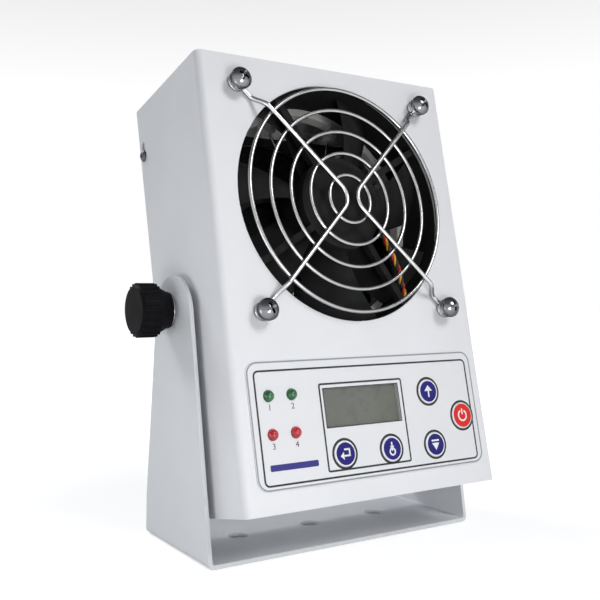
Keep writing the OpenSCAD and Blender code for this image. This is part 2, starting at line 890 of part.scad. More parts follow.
// Puts its child at the supply board's four corners, measured from the board's own corner
module at_supply_bolts() {
    for (x = [supply_bolt_in, supply_size[0] - supply_bolt_in],
            y = [supply_bolt_in, supply_size[1] - supply_bolt_in])
        translate([x, y, 0]) children();
}

module supply_board() {
    color(board_green) in_housing() translate([supply_at[0], supply_at[1], supply_z]) difference() {
        cube([supply_size[0], supply_size[1], board_t]);
        at_supply_bolts() translate([0, 0, -eps]) cylinder(r = 1.6, h = board_t + 2 * eps);
    }
}

module supply_standoffs() {
    color([0.9, 0.9, 0.88]) in_housing() translate([supply_at[0], supply_at[1], floor_z])
        at_supply_bolts() {
            cylinder(r = 3, h = supply_rise);
            cylinder(r = 1.55, h = supply_rise + board_t + 2);
        }
}

module transformer() {
    color([0.75, 0.6, 0.2]) in_housing() translate([core_at[0], core_at[1], supply_z + board_t]) {
        cube(core_size);
        translate([coil_at[0], coil_at[1], core_size[2]]) cube(coil_size);
        translate([0, 0, core_size[2] + coil_size[2]]) cube(core_size);
    }
}

module capacitors() {
    color([0.1, 0.1, 0.3]) in_housing() for (spot = capacitor_rows)
        translate([spot[0], spot[1], supply_z + board_t]) cylinder(r = spot[2], h = spot[3]);
}

module mains_leads() {
    color([0.4, 0.25, 0.15]) in_housing() for (side = [-1, 1])
        lead([
            [inlet_spot[0] + 7 * side, 0.5, -54],
            [inlet_spot[0] + 7 * side, -4, -54],
            [-44 + 4 * side, -4, -66],
            [-44 + 4 * side, 1, supply_z + board_t + play + slack]
        ], 1.1);
}

// ---------- inlet ----------

module socket_outline(size) {
    chamfer = 4.5;
    x = size[0] / 2;
    y = size[1] / 2;
    polygon([[-x, -y], [x, -y], [x, y - chamfer], [x - chamfer, y], [-x + chamfer, y], [-x, y - chamfer]]);
}

module power_inlet() {
    color(black_plastic) on_back(inlet_spot[0], inlet_spot[1]) difference() {
        union() {
            linear_extrude(inlet_flange_h) rounded_rect(inlet_flange, 4);
            translate([-inlet_body[0] / 2, -inlet_body[1] / 2, -inlet_depth])
                cube([inlet_body[0], inlet_body[1], inlet_depth + 1]);
        }
        translate([0, socket_up, -12]) linear_extrude(20) socket_outline(socket_size);
        translate([-drawer_size[0] / 2, -drawer_down - drawer_size[1] / 2, -15])
            cube([drawer_size[0], drawer_size[1], 20]);
        for (side = [-1, 1]) translate([side * inlet_screw_x, 0, -eps])
            cylinder(r = inlet_hole_r, h = inlet_flange_h + 2 * eps);
        for (pin = pin_spots) translate([pin[0], socket_up + pin[1], -15])
            cube([pin_size[0] + 0.1, pin_size[1] + 0.1, 10], center = true);
    }
}

module inlet_pins() {
    color(brass) on_back(inlet_spot[0], inlet_spot[1])
        for (pin = pin_spots) translate([pin[0], socket_up + pin[1], 0]) {
            translate([0, 0, -9.5]) cube([pin_size[0], pin_size[1], 21], center = true);
            translate([0, 0, -22]) cube([0.8, pin_size[1], 6], center = true);
        }
}

module inlet_screws() {
    color(dark_steel) on_back(inlet_spot[0], inlet_spot[1]) for (side = [-1, 1])
        translate([side * inlet_screw_x, 0, inlet_flange_h]) pan_screw(2.8, 1.8, 1.5, 9);
}

module fuse_drawer() {
    w = drawer_size[0] - 2 * play;
    h = drawer_size[1] - 2 * play;
    lip = [w, 2, 1.6];
    bay = [fuse_len + 0.6, h, 2 * fuse_r + 0.2];
    color(black_plastic) on_back(inlet_spot[0], inlet_spot[1]) translate([0, -drawer_down, 0])
        difference() {
            union() {
                translate([-w / 2, -h / 2, -drawer_in]) cube([w, h, drawer_in + drawer_out]);
                translate([-w / 2, -h / 2, drawer_out - 0.1]) cube(lip);
            }
            translate([-bay[0] / 2, -fuse_r - 0.1, 4 - drawer_in]) cube(bay);
        }
}

module mains_fuse() {
    bay_middle = 4 - drawer_in + fuse_r + 0.1;
    color(brass) on_back(inlet_spot[0], inlet_spot[1]) translate([0, -drawer_down, bay_middle])
        rotate([0, 90, 0]) {
            cylinder(r = fuse_r - 0.3, h = fuse_len - 2, center = true);
            for (side = [-1, 1]) translate([0, 0, side * (fuse_len - fuse_cap) / 2])
                cylinder(r = fuse_r, h = fuse_cap, center = true);
        }
}

module earth_terminal() {
    color(brass) on_back(earth_spot[0], earth_spot[1]) {
        cylinder(d = 10, h = 3, $fn = 6);
        translate([0, 0, -9]) cylinder(r = 2, h = 20);
        translate([0, 0, 3.4]) cylinder(r = 4.6, h = 5);
        translate([0, 0, -sheet - 3]) cylinder(d = 9, h = 3, $fn = 6);
    }
}

// ---------- filter ----------

module filter_frame() {
    window_r = filter_d / 2 - 5;
    color(black_plastic) on_back(0, fan_up) difference() {
        union() {
            linear_extrude(filter_frame_t) difference() {
                rounded_rect([filter_d, filter_d], 4);
                circle(window_r);
            }
            linear_extrude(filter_frame_t - 1) {
                difference() {
                    circle(25);
                    circle(22);
                }
                for (i = [0 : 3]) rotate(45 + 90 * i) translate([23, -1.5]) square([window_r - 22, 3]);
            }
        }
        at_corners(fan_pitch) translate([0, 0, -eps])
            cylinder(r = m4_hole_r, h = filter_frame_t + 2 * eps);
    }
}

module filter_foam() {
    color([0.12, 0.12, 0.13]) on_back(0, fan_up) translate([0, 0, filter_frame_t])
        linear_extrude(foam_t) intersection() {
            square(filter_d - 6, center = true);
            circle(66);
        }
}

module filter_cover() {
    outer = filter_d + 2 * (play + cover_wall);
    window_r = filter_d / 2 - 6;
    rail_len = 1.76 * window_r;
    color(black_plastic) on_back(0, fan_up) {
        difference() {
            translate([0, 0, cover_gap]) linear_extrude(cover_out - cover_gap)
                rounded_rect([outer, outer], 6);
            linear_extrude(cover_out - cover_wall)
                rounded_rect([filter_d + 2 * play, filter_d + 2 * play], 4);
            translate([0, 0, cover_out - cover_wall - eps])
                cylinder(r = window_r, h = cover_wall + 2 * eps);
        }
        intersection() {
            translate([0, 0, cover_out - cover_wall]) cylinder(r = window_r + 1, h = cover_wall);
            for (i = [0 : slats - 1])
                translate([-filter_d / 2, slat_pitch * (i - (slats - 1) / 2) - slat_w / 2,
                        cover_out - cover_wall])
                    cube([filter_d, slat_w, cover_wall]);
        }
        for (side = [-1, 1])
            translate([side * rail_x - rail_size[0] / 2, -rail_len / 2, cover_out - cover_wall])
                cube([rail_size[0], rail_len, rail_size[1]]);
    }
}

module filter_screws() {
    color(bright_steel) on_back(0, fan_up) at_corners(fan_pitch)
        translate([0, 0, filter_frame_t]) pan_screw(3.8, 2.2, m4_r, 11);
}

module filter_nuts() {
    color(bright_steel) on_back(0, fan_up) at_corners(fan_pitch)
        translate([0, 0, -sheet - nut_t]) nut(nut_d, nut_t, m4_r + slack);
}

// ---------- knobs ----------

// Hand knob: smooth collar and cone, then a ribbed grip with a chamfered end
module knob(side) {
    on_pivot(side) translate([0, 0, knob_z]) difference() {
        union() {
            rotate_extrude() polygon([
                [0, 0], [collar_r, 0], [collar_r, collar_h], [grip_r - 0.7, grip_at],
                [grip_r, grip_at + 0.6], [grip_r, knob_len - grip_edge],
                [grip_r - grip_edge, knob_len], [0, knob_len]
            ]);
            for (i = [0 : knob_ribs - 1]) rotate([0, 0, i * 360 / knob_ribs])
                translate([grip_r - rib_in, 0, grip_at + 0.4])
                    cylinder(r = rib_r, h = knob_len - grip_at - 1.4);
        }
        translate([0, 0, -eps]) cylinder(r = stud_d / 2 + 0.02, h = stud_outer - knob_z + eps);
    }
}

module stud(side) {
    on_pivot(side) translate([0, 0, stud_inner]) cylinder(d = stud_d, h = stud_outer - stud_inner);
}

module washer(side) {
    on_pivot(side) translate([0, 0, stand_w / 2 + slack]) ring(knob_washer_r, stud_hole_r, washer_h);
}

module left_knob() {
    color(black_plastic) knob(-1);
}

module left_stud() {
    color(bright_steel) stud(-1);
}

module left_washer() {
    color(bright_steel) washer(-1);
}

module right_knob() {
    color(black_plastic) knob(1);
}

module right_stud() {
    color(bright_steel) stud(1);
}

module right_washer() {
    color(bright_steel) washer(1);
}

stand();
front_shell();
rear_cover();
cover_screws();
pivot_nuts();
friction_discs();
panel_overlay();
display_window();
display_module();
control_board();
board_standoffs();
board_screws();
tact_switches();
green_lamps();
red_lamps();
up_key();
down_key();
menu_key();
enter_key();
power_key();
guard_rings();
guard_spokes();
guard_screws();
guard_washers();
fan_nuts();
fan_frame();
fan_stator();
fan_bearings();
fan_lead();
impeller();
fan_shaft();
magnet_ring();
emitter_ring();
emitter_needles();
hv_module();
hv_cable();
supply_board();
supply_standoffs();
transformer();
capacitors();
mains_leads();
power_inlet();
inlet_pins();
inlet_screws();
fuse_drawer();
mains_fuse();
earth_terminal();
filter_frame();
filter_foam();
filter_cover();
filter_screws();
filter_nuts();
left_knob();
left_stud();
left_washer();
right_knob();
right_stud();
right_washer();
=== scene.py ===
"""Looks of a benchtop ionizing blower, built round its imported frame.

The frame gives every solid at its real size and place. This script dresses those solids, and puts
finer pieces in the place of some of them: the wire guard and its screws, the impeller, the twisted
fan leads, the keys, the lamps and the display. Lengths are in metres and +Z is up.
"""

from __future__ import annotations

import json
import logging
import math
from dataclasses import dataclass, field
from enum import Enum
from typing import Sequence

import bmesh
import bpy
from mathutils import Matrix, Vector

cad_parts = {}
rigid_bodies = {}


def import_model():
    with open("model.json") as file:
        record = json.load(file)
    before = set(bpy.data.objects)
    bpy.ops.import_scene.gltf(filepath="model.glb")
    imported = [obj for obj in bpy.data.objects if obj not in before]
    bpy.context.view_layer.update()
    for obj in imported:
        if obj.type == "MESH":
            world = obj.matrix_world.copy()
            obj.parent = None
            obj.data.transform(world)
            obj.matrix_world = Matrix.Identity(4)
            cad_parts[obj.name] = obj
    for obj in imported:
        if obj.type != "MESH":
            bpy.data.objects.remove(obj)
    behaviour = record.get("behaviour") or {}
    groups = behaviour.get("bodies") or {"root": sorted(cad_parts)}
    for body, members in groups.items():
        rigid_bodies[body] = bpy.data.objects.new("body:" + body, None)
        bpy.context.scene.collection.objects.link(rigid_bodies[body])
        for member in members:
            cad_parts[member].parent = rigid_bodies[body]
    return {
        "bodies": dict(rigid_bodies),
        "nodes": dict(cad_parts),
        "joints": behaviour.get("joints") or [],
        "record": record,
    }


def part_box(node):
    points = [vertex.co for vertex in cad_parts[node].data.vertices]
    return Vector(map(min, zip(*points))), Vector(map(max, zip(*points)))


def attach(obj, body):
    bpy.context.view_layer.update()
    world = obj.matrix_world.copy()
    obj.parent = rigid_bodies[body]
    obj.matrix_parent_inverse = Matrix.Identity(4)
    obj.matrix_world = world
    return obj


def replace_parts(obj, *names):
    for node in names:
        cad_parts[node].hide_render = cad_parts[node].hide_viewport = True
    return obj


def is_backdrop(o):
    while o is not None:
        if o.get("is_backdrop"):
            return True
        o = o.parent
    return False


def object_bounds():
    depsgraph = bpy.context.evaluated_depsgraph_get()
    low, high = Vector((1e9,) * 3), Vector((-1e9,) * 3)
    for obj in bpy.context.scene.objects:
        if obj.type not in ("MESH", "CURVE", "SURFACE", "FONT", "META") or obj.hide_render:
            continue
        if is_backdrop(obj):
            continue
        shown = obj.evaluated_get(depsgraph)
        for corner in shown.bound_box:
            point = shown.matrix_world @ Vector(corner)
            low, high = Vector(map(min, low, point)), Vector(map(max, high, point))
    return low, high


LOG = logging.getLogger("blower")
MM = 0.001
UNIT = Matrix.Identity(4)
X_AXIS = Vector((1, 0, 0))
SHARP = math.radians(38)  # an edge that bends less than this is shaded smooth
SAME_PLANE = math.radians(0.4)  # faces that bend less than this are merged before edges are rounded
SAME_POINT = 0.002 * MM
PRINT_UNDER = -0.01 * MM  # how far ink reaches into what carries it
BEHIND_SHEET = 1.25 * MM  # from the panel's front to a flange behind its sheet
FIRST_TURN, NEXT_TURN = 23, 37  # degrees at which a set's first screw stands, and each next one beyond it
WAVE_SCALE = 0.314  # scale of a wave texture whose bands are one metre apart

Colour = tuple[float, float, float]
Flat = tuple[float, float]
Point = tuple[float, ...]
Box = tuple[float, float, float, float]
Socket = bpy.types.NodeSocket


def shade(red: int, green: int, blue: int) -> Colour:
    """Turns a colour given in steps of 255 into the linear light that a shader takes."""
    return tuple((((c / 255) + 0.055) / 1.055) ** 2.4 if c > 10 else c / 3294 for c in (red, green, blue))


def tinted(colour: Colour, share: float) -> Colour:
    """Returns a colour made lighter (share above 1) or darker (below 1)."""
    return tuple(min(1.0, c * share) for c in colour)


# ---------- finishes ----------


class Wiring:
    """A tree of shader nodes under construction, with short ways to add to it."""

    def __init__(self, tree: bpy.types.NodeTree) -> None:
        """Takes up a tree, and gives it the coordinates that its patterns lie in.

        Args:
            tree: The tree of a material or of the world.
        """
        self.tree = tree
        self.coordinates = self.node("TexCoord").outputs
        self.place = self.coordinates["Object"]

    def feed(self, target: Socket, value: object) -> None:
        """Links an output to an input, or sets the input to a plain value."""
        if isinstance(value, Socket):
            self.tree.links.new(value, target)
        else:
            target.default_value = (*value, 1.0) if target.type == "RGBA" else value

    def node(self, kind: str, inputs: dict[str | int, object] | None = None, **settings: str) -> bpy.types.Node:
        """Adds a node.

        Args:
            kind: The node's type, without its prefix.
            inputs: The value of an input, or the output that feeds it.
            settings: The node's own settings.

        Returns:
            The node.
        """
        made = self.tree.nodes.new("ShaderNode" + kind)
        for name, setting in settings.items():
            setattr(made, name, setting)
        for name, value in (inputs or {}).items():
            self.feed(made.inputs[name], value)
        return made

    def noise(self, grain: float, detail: float = 3.0, stretch: Point | None = None) -> Socket:
        """Adds cloudy noise.

        Args:
            grain: Size of the clouds.
            detail: How many finer layers it has.
            stretch: Scale along each axis, for brushed or drawn metal.

        Returns:
            The noise's value.
        """
        place = self.place
        if stretch:
            place = self.node("Mapping", {"Scale": stretch, "Vector": place}).outputs[0]
        return self.node("TexNoise", {"Scale": 1 / grain, "Detail": detail, "Vector": place}).outputs[0]

    def cells(self, grain: float, feature: str = "F1") -> Socket:
        """Adds a pattern of cells of a given size, and returns the distance in it."""
        return self.node("TexVoronoi", {"Scale": 1 / grain, "Vector": self.place}, feature=feature).outputs["Distance"]

    def bands(self, grain: float, axis: str, distortion: float) -> Socket:
        """Adds straight bands a given distance apart, and returns their value."""
        return self.node("TexWave", {"Scale": WAVE_SCALE / grain, "Distortion": distortion, "Vector": self.place},
                         bands_direction=axis).outputs[1]

    def spread(self, value: Socket, low: float, high: float, start: float = 0.35, end: float = 0.65) -> Socket:
        """Maps a value from start..end to low..high."""
        return self.node("MapRange", {"Value": value, "From Min": start, "From Max": end,
                                      "To Min": low, "To Max": high}).outputs[0]

    def uneven(self, grain: float, detail: float, low: float, high: float, *reach: float) -> Socket:
        """Returns a value that varies in soft clouds from low to high."""
        return self.spread(self.noise(grain, detail), low, high, *reach)

    def between(self, value: Socket, first: Colour | Socket, second: Colour | Socket) -> Socket:
        """Mixes two colours by a value from 0 to 1, and returns the colour."""
        return self.node("Mix", {0: value, 6: first, 7: second}, data_type="RGBA").outputs[2]

    def shades(self, value: Socket, colour: Colour, low: float, high: float) -> Socket:
        """Returns a colour that a value from 0 to 1 takes from one share of itself to another."""
        return self.between(value, tinted(colour, low), tinted(colour, high))

    def maths(self, operation: str, *values: Socket) -> Socket:
        """Combines one or two values by a plain operation, and returns the result."""
        return self.node("Math", dict(enumerate(values)), operation=operation).outputs[0]

    def along(self, direction: Point) -> Socket:
        """Returns how far a point lies along a direction."""
        return self.node("VectorMath", {0: self.place, 1: direction}, operation="DOT_PRODUCT").outputs["Value"]

    def grazing(self, start: float, end: float) -> Socket:
        """Returns a value that grows from 0 to 1 as the surface turns edge-on; the plates use it to paint dark
        reflections on their rims.
        """
        return self.spread(self.node("LayerWeight", {"Blend": 0.5}).outputs["Facing"], 0, 1, start, end)

    def seen(self) -> Socket:
        """Returns a value that is 1 for rays of the camera, of a gloss or through a glass."""
        path = self.node("LightPath").outputs
        either = self.maths("MAXIMUM", path["Is Camera Ray"], path["Is Glossy Ray"])
        return self.maths("MAXIMUM", either, path["Is Transmission Ray"])


class Recipe(Wiring):
    """A material under construction."""

    def __init__(self, name: str) -> None:
        """Starts a material that holds only the standard shader.

        Args:
            name: What the material is called.
        """
        self.material = bpy.data.materials.new(name)
        self.material.use_nodes = True
        super().__init__(self.material.node_tree)
        self.shader = self.tree.nodes["Principled BSDF"]

    def fix(self, **values: float | Socket) -> None:
        """Feeds the shader's own sockets; an underscore in a name stands for a space."""
        for name, value in values.items():
            self.feed(self.shader.inputs[name.replace("_", " ")], value)

    def relief(self, height: Socket, depth: float, strength: float) -> None:
        """Adds relief on top of what the normal socket already has.

        Args:
            height: The value that is the height.
            depth: Height of a value of 1.
            strength: Share of the relief that shows.
        """
        bump = self.node("Bump", {"Strength": strength, "Distance": depth, "Height": height})
        normal = self.shader.inputs["Normal"]
        if normal.is_linked:
            self.feed(bump.inputs["Normal"], normal.links[0].from_socket)
        self.feed(normal, bump.outputs[0])


@dataclass(frozen=True)
class Finish:
    """A finish of one colour; each kind of finish adds its own grain to it."""

    name: str
    colour: Colour

    def material(self) -> bpy.types.Material:
        """Returns the finish's material, made the first time it is asked for."""
        made = bpy.data.materials.get(self.name)
        if made:
            return made
        recipe = Recipe(self.name)
        self.compose(recipe)
        return recipe.material

    def compose(self, recipe: Recipe) -> None:
        """Fills in the recipe."""
        raise NotImplementedError


@dataclass(frozen=True)
class PowderCoat(Finish):
    """Baked powder paint on sheet steel: satin, with a fine orange peel and faint handling marks."""

    def compose(self, recipe: Recipe) -> None:
        """Fills in the recipe."""
        recipe.fix(Base_Color=recipe.shades(recipe.uneven(45 * MM, 4, 0, 1), self.colour, 0.975, 1.015),
                   Roughness=recipe.uneven(14 * MM, 5, 0.46, 0.58), Specular_IOR_Level=0.35)
        recipe.relief(recipe.noise(0.9 * MM, 2), 0.035 * MM, 0.5)
        recipe.relief(recipe.noise(0.25 * MM, 2), 0.006 * MM, 0.4)


@dataclass(frozen=True)
class ShellCoat(PowderCoat):
    """Powder paint outside a box of sheet steel, and near black on its inner faces, painted shade of the housing's
    dark inside.
    """

    # near-black painted shade for the inner faces
    painted_inner_shade: Colour = (0.035, 0.035, 0.037)
    ramp: float = 0.1 * MM
    inside: tuple[tuple[Point, float, float], ...] = ()

    def compose(self, recipe: Recipe) -> None:
        """Fills in the recipe; the inside is a box, given by directions and its reach along them, and its faces get
        the painted shade.
        """
        super().compose(recipe)
        painted = recipe.shader.inputs["Base Color"].links[0].from_socket
        # mask of the painted inner shade: 1 inside the box
        painted_shade_mask = None
        for direction, low, high in self.inside:
            along = recipe.along(direction)
            both = recipe.maths("MULTIPLY", recipe.spread(along, 0, 1, low, low + self.ramp),
                                recipe.spread(along, 1, 0, high - self.ramp, high))
            painted_shade_mask = recipe.maths("MULTIPLY", painted_shade_mask, both) if painted_shade_mask else both
        recipe.fix(Base_Color=recipe.between(painted_shade_mask, painted, self.painted_inner_shade))


@dataclass(frozen=True)
class BrightPlate(Finish):
    """Bright nickel or chrome plate, with faint drawing lines and thinner patches; its colour is darkened toward its
    rims as a painted dark reflection.
    """

    roughness: Flat
    # painted dark reflection: the colour's share at edge-on rims, and the facing values over which it sets in
    painted_rim_shade: float
    painted_rim_from: float
    painted_rim_to: float

    def compose(self, recipe: Recipe) -> None:
        """Fills in the recipe."""
        plate = recipe.shades(recipe.uneven(6 * MM, 4, 0, 1), self.colour, 0.88, 1)
        # painted dark reflection: the colour falls to a share of itself where the surface turns edge-on
        painted_rim_mask = recipe.grazing(self.painted_rim_from, self.painted_rim_to)
        recipe.fix(Base_Color=recipe.between(painted_rim_mask, plate, tinted(self.colour, self.painted_rim_shade)),
                   Roughness=recipe.uneven(2.5 * MM, 5, *self.roughness), Metallic=1.0)
        recipe.relief(recipe.noise(0.5 * MM, 3), 0.01 * MM, 0.35)


@dataclass(frozen=True)
class ZincPlate(Finish):
    """Dull zinc plate, mottled and a little brushed."""

    roughness: Flat = (0.28, 0.44)

    def compose(self, recipe: Recipe) -> None:
        """Fills in the recipe."""
        spangle = recipe.spread(recipe.cells(2.2 * MM), 0, 1, 0.1, 0.7)
        recipe.fix(Base_Color=recipe.shades(spangle, self.colour, 0.82, 1),
                   Roughness=recipe.uneven(1.6 * MM, 4, *self.roughness), Metallic=1.0)
        recipe.relief(recipe.noise(0.35 * MM, 3, (1, 1, 8)), 0.012 * MM, 0.4)


@dataclass(frozen=True)
class Moulding(Finish):
    """Moulded plastic with a spark-eroded grain."""

    roughness: Flat = (0.42, 0.56)
    grain: float = 0.35 * MM
    grain_depth: float = 0.02 * MM
    gloss: float = 0.5

    def compose(self, recipe: Recipe) -> None:
        """Fills in the recipe."""
        recipe.fix(Base_Color=recipe.shades(recipe.uneven(12 * MM, 4, 0, 1), self.colour, 0.85, 1.12),
                   Roughness=recipe.uneven(5 * MM, 5, *self.roughness), Specular_IOR_Level=self.gloss)
        recipe.relief(recipe.noise(self.grain, 2), self.grain_depth, 0.5)


@dataclass(frozen=True)
class PrintedFilm(Finish):
    """Polycarbonate film with a fine matt texture, printed from behind."""

    def compose(self, recipe: Recipe) -> None:
        """Fills in the recipe."""
        cloud = recipe.uneven(30 * MM, 3, 0, 1, 0.2, 0.8)
        recipe.fix(Base_Color=recipe.shades(cloud, self.colour, 0.992, 1.006),
                   Roughness=recipe.uneven(8 * MM, 2, 0.4, 0.44, 0.2, 0.8), Specular_IOR_Level=0.35)
        recipe.relief(recipe.cells(0.3 * MM), 0.01 * MM, 0.3)


@dataclass(frozen=True)
class Print(Finish):
    """Screen-printed ink, a little uneven in its cover."""

    def compose(self, recipe: Recipe) -> None:
        """Fills in the recipe."""
        cover = recipe.uneven(1.2 * MM, 4, 0, 1, 0.3, 0.7)
        recipe.fix(Base_Color=recipe.shades(cover, self.colour, 0.93, 1.05),
                   Roughness=recipe.uneven(0.8 * MM, 3, 0.3, 0.42))
        recipe.relief(recipe.noise(0.2 * MM, 2), 0.004 * MM, 0.3)


@dataclass(frozen=True)
class ClearWindow(Finish):
    """Clear hard-coated window with a faint haze; the display shows through it."""

    opacity: float = 0.18

    def compose(self, recipe: Recipe) -> None:
        """Fills in the recipe."""
        haze = recipe.uneven(9 * MM, 3, 0, 1, 0.2, 0.8)
        recipe.fix(Base_Color=recipe.shades(haze, self.colour, 0.97, 1),
                   Roughness=recipe.uneven(6 * MM, 2, 0.08, 0.11, 0.2, 0.8), Alpha=self.opacity, IOR=1.49)


@dataclass(frozen=True)
class LiquidCrystal(Finish):
    """Reflective display glass at rest: grey-green, with a silky back and a warmer right third."""

    warm: Colour = (0.108, 0.112, 0.086)
    warm_from: float = 3 * MM
    warm_to: float = 6 * MM

    def compose(self, recipe: Recipe) -> None:
        """Fills in the recipe."""
        side = recipe.spread(recipe.along((1, 0, 0)), 0, 1, self.warm_from, self.warm_to)
        silk = recipe.spread(recipe.noise(0.6 * MM, 3, (1, 6, 6)), 0.94, 1.06)
        woven = recipe.node("Mix", {0: 1.0, 6: recipe.between(side, self.colour, self.warm), 7: silk},
                            data_type="RGBA", blend_type="MULTIPLY")
        recipe.fix(Base_Color=woven.outputs[2], Roughness=recipe.uneven(3 * MM, 3, 0.25, 0.35))


@dataclass(frozen=True)
class TintedEpoxy(Finish):
    """Tinted epoxy of an unlit lamp: glossy, with light caught inside it."""

    def compose(self, recipe: Recipe) -> None:
        """Fills in the recipe."""
        recipe.fix(Base_Color=recipe.shades(recipe.uneven(2.4 * MM, 2, 0, 1), self.colour, 0.7, 1.3),
                   Roughness=recipe.uneven(1.5 * MM, 3, 0.1, 0.2),
                   Subsurface_Weight=0.25, Subsurface_Scale=0.002, Coat_Weight=0.4, Coat_Roughness=0.08)
        recipe.relief(recipe.noise(0.5 * MM, 2), 0.004 * MM, 0.3)


@dataclass(frozen=True)
class Foam(Finish):
    """Open-cell filter foam."""

    def compose(self, recipe: Recipe) -> None:
        """Fills in the recipe."""
        pores = recipe.cells(1.1 * MM)
        recipe.fix(Base_Color=recipe.shades(recipe.spread(pores, 0, 1, 0.1, 0.6), self.colour, 2.4, 1),
                   Roughness=recipe.uneven(2 * MM, 3, 0.8, 0.95))
        recipe.relief(pores, 0.5 * MM, 0.8)


@dataclass(frozen=True)
class Jacket(Finish):
    """Extruded wire insulation, slightly waxy."""

    def compose(self, recipe: Recipe) -> None:
        """Fills in the recipe."""
        recipe.fix(Base_Color=recipe.shades(recipe.uneven(3 * MM, 3, 0, 1), self.colour, 0.88, 1.08),
                   Roughness=recipe.uneven(1 * MM, 3, 0.32, 0.45))
        recipe.relief(recipe.noise(0.4 * MM, 2), 0.01 * MM, 0.3)


@dataclass(frozen=True)
class SolderMask(Finish):
    """Circuit board: green mask over copper tracks."""

    copper: Colour = (0.09, 0.36, 0.12)

    def compose(self, recipe: Recipe) -> None:
        """Fills in the recipe."""
        tracks = recipe.spread(recipe.cells(5 * MM, "DISTANCE_TO_EDGE"), 1, 0, 0.06, 0.12)
        recipe.fix(Base_Color=recipe.between(tracks, self.colour, self.copper),
                   Roughness=recipe.uneven(4 * MM, 4, 0.25, 0.4))
        recipe.relief(tracks, 0.035 * MM, 0.6)


@dataclass(frozen=True)
class Laminations(Finish):
    """Stacked iron sheets with varnish, seen with the winding that they carry."""

    varnish: Colour = (0.22, 0.12, 0.05)

    def compose(self, recipe: Recipe) -> None:
        """Fills in the recipe."""
        sheets = recipe.bands(0.5 * MM, "Z", 0.4)
        recipe.fix(Base_Color=recipe.between(sheets, self.colour, self.varnish),
                   Roughness=recipe.uneven(2 * MM, 4, 0.35, 0.6))
        recipe.relief(sheets, 0.05 * MM, 0.6)


@dataclass(frozen=True)
class Sintered(Finish):
    """Sintered magnet: dark grey and grainy."""

    def compose(self, recipe: Recipe) -> None:
        """Fills in the recipe."""
        grains = recipe.cells(0.5 * MM)
        recipe.fix(Base_Color=recipe.shades(grains, self.colour, 1, 1.8),
                   Roughness=recipe.uneven(1 * MM, 4, 0.5, 0.7))
        recipe.relief(grains, 0.02 * MM, 0.5)


@dataclass(frozen=True)
class Brass(Finish):
    """Plain brass with light tarnish."""

    def compose(self, recipe: Recipe) -> None:
        """Fills in the recipe."""
        tarnish = recipe.uneven(5 * MM, 5, 0, 1, 0.4, 0.7)
        recipe.fix(Base_Color=recipe.shades(tarnish, self.colour, 1, 0.6),
                   Roughness=recipe.uneven(2 * MM, 4, 0.22, 0.42), Metallic=1.0)
        recipe.relief(recipe.noise(0.3 * MM, 3, (1, 6, 1)), 0.01 * MM, 0.35)


HOUSING_COAT = PowderCoat("housing_powder_coat", shade(228, 229, 232))
STAND_COAT = PowderCoat("stand_powder_coat", shade(218, 220, 223))
# The plates below darken toward their rims, a painted dark reflection.
WIRE_PLATE = BrightPlate("bright_wire_plate", (0.62, 0.62, 0.63), (0.12, 0.24), 0.10, 0.22, 0.72)
# Screw heads: the plate's colour set dark, a painted dark reflection of the surroundings.
SCREW_PLATE_PAINTED_DARK = BrightPlate("screw_plate_painted_dark", (0.24, 0.24, 0.26), (0.1, 0.2), 0.12, 0.16, 0.62)
# Guard rings: the spokes' plate made darker, painted shade where the rings look greyer than the spokes.
RING_PLATE_PAINTED_DARK = BrightPlate("ring_plate_painted_darker", (0.47, 0.47, 0.48), (0.12, 0.24), 0.10, 0.22, 0.72)
ZINC = ZincPlate("zinc_plate", (0.62, 0.63, 0.64))
BLACKENED = ZincPlate("blackened_steel", (0.10, 0.10, 0.11), (0.3, 0.5))
KNOB_PLASTIC = Moulding("knob_black_plastic", (0.009, 0.009, 0.01), (0.34, 0.42), gloss=0.012)
FAN_PLASTIC = Moulding("fan_black_plastic", (0.019, 0.019, 0.0195), (0.68, 0.8), 0.6 * MM, gloss=0.05)
REAR_PLASTIC = Moulding("rear_black_plastic", (0.014, 0.014, 0.016), gloss=0.35)
INLET_PLASTIC = Moulding("inlet_black_plastic", (0.012, 0.012, 0.014), (0.3, 0.4), 0.3 * MM, 0.01 * MM, 0.35)
POTTING = Moulding("potting_black_resin", (0.018, 0.018, 0.022), (0.2, 0.35), 1.5 * MM)
CERAMIC_WHITE = Moulding("emitter_white_plastic", shade(232, 232, 226), (0.35, 0.5))
FILM = PrintedFilm("overlay_film", shade(226, 227, 230))
# A grey band just inside the overlay's outline: painted shade of the overlay's raised edge.
FILM_EDGE_PAINTED_SHADE = Print("overlay_edge_painted_shade", shade(146, 148, 155))
BLACK_INK = Print("black_print", shade(26, 26, 30))
WHITE_INK = Print("white_print", shade(236, 236, 240))
BLUE_INK = Print("blue_print", shade(40, 36, 122))
KEY_BLUE = Moulding("key_blue_plastic", shade(30, 23, 110), (0.35, 0.45), 0.4 * MM, 0.01 * MM, 0.25)
KEY_RED = Moulding("key_red_plastic", shade(214, 44, 32), (0.35, 0.45), 0.4 * MM, 0.01 * MM, 0.25)
LAMP_GREEN = TintedEpoxy("lamp_green_epoxy", shade(16, 98, 50))
LAMP_RED = TintedEpoxy("lamp_red_epoxy", shade(176, 18, 40))
WINDOW = ClearWindow("display_clear_window", (0.30, 0.31, 0.28))
DISPLAY_GLASS = LiquidCrystal("display_grey_glass", (0.128, 0.138, 0.117))
BOARD = SolderMask("green_solder_mask", (0.02, 0.16, 0.05))
IRON = Laminations("laminated_iron", (0.3, 0.28, 0.26))
MAGNET = Sintered("sintered_magnet", (0.05, 0.05, 0.05))
BRASS = Brass("plain_brass", (0.72, 0.55, 0.26))
FOAM = Foam("filter_foam_black", (0.012, 0.012, 0.013))
YELLOW_JACKET = Jacket("yellow_lead_jacket", shade(226, 172, 30))
RED_JACKET = Jacket("red_lead_jacket", shade(176, 34, 22))
BLACK_JACKET = Jacket("black_lead_jacket", shade(28, 26, 26))
CABLE_JACKET = Jacket("high_voltage_jacket", shade(150, 24, 20))


# ---------- forms ----------


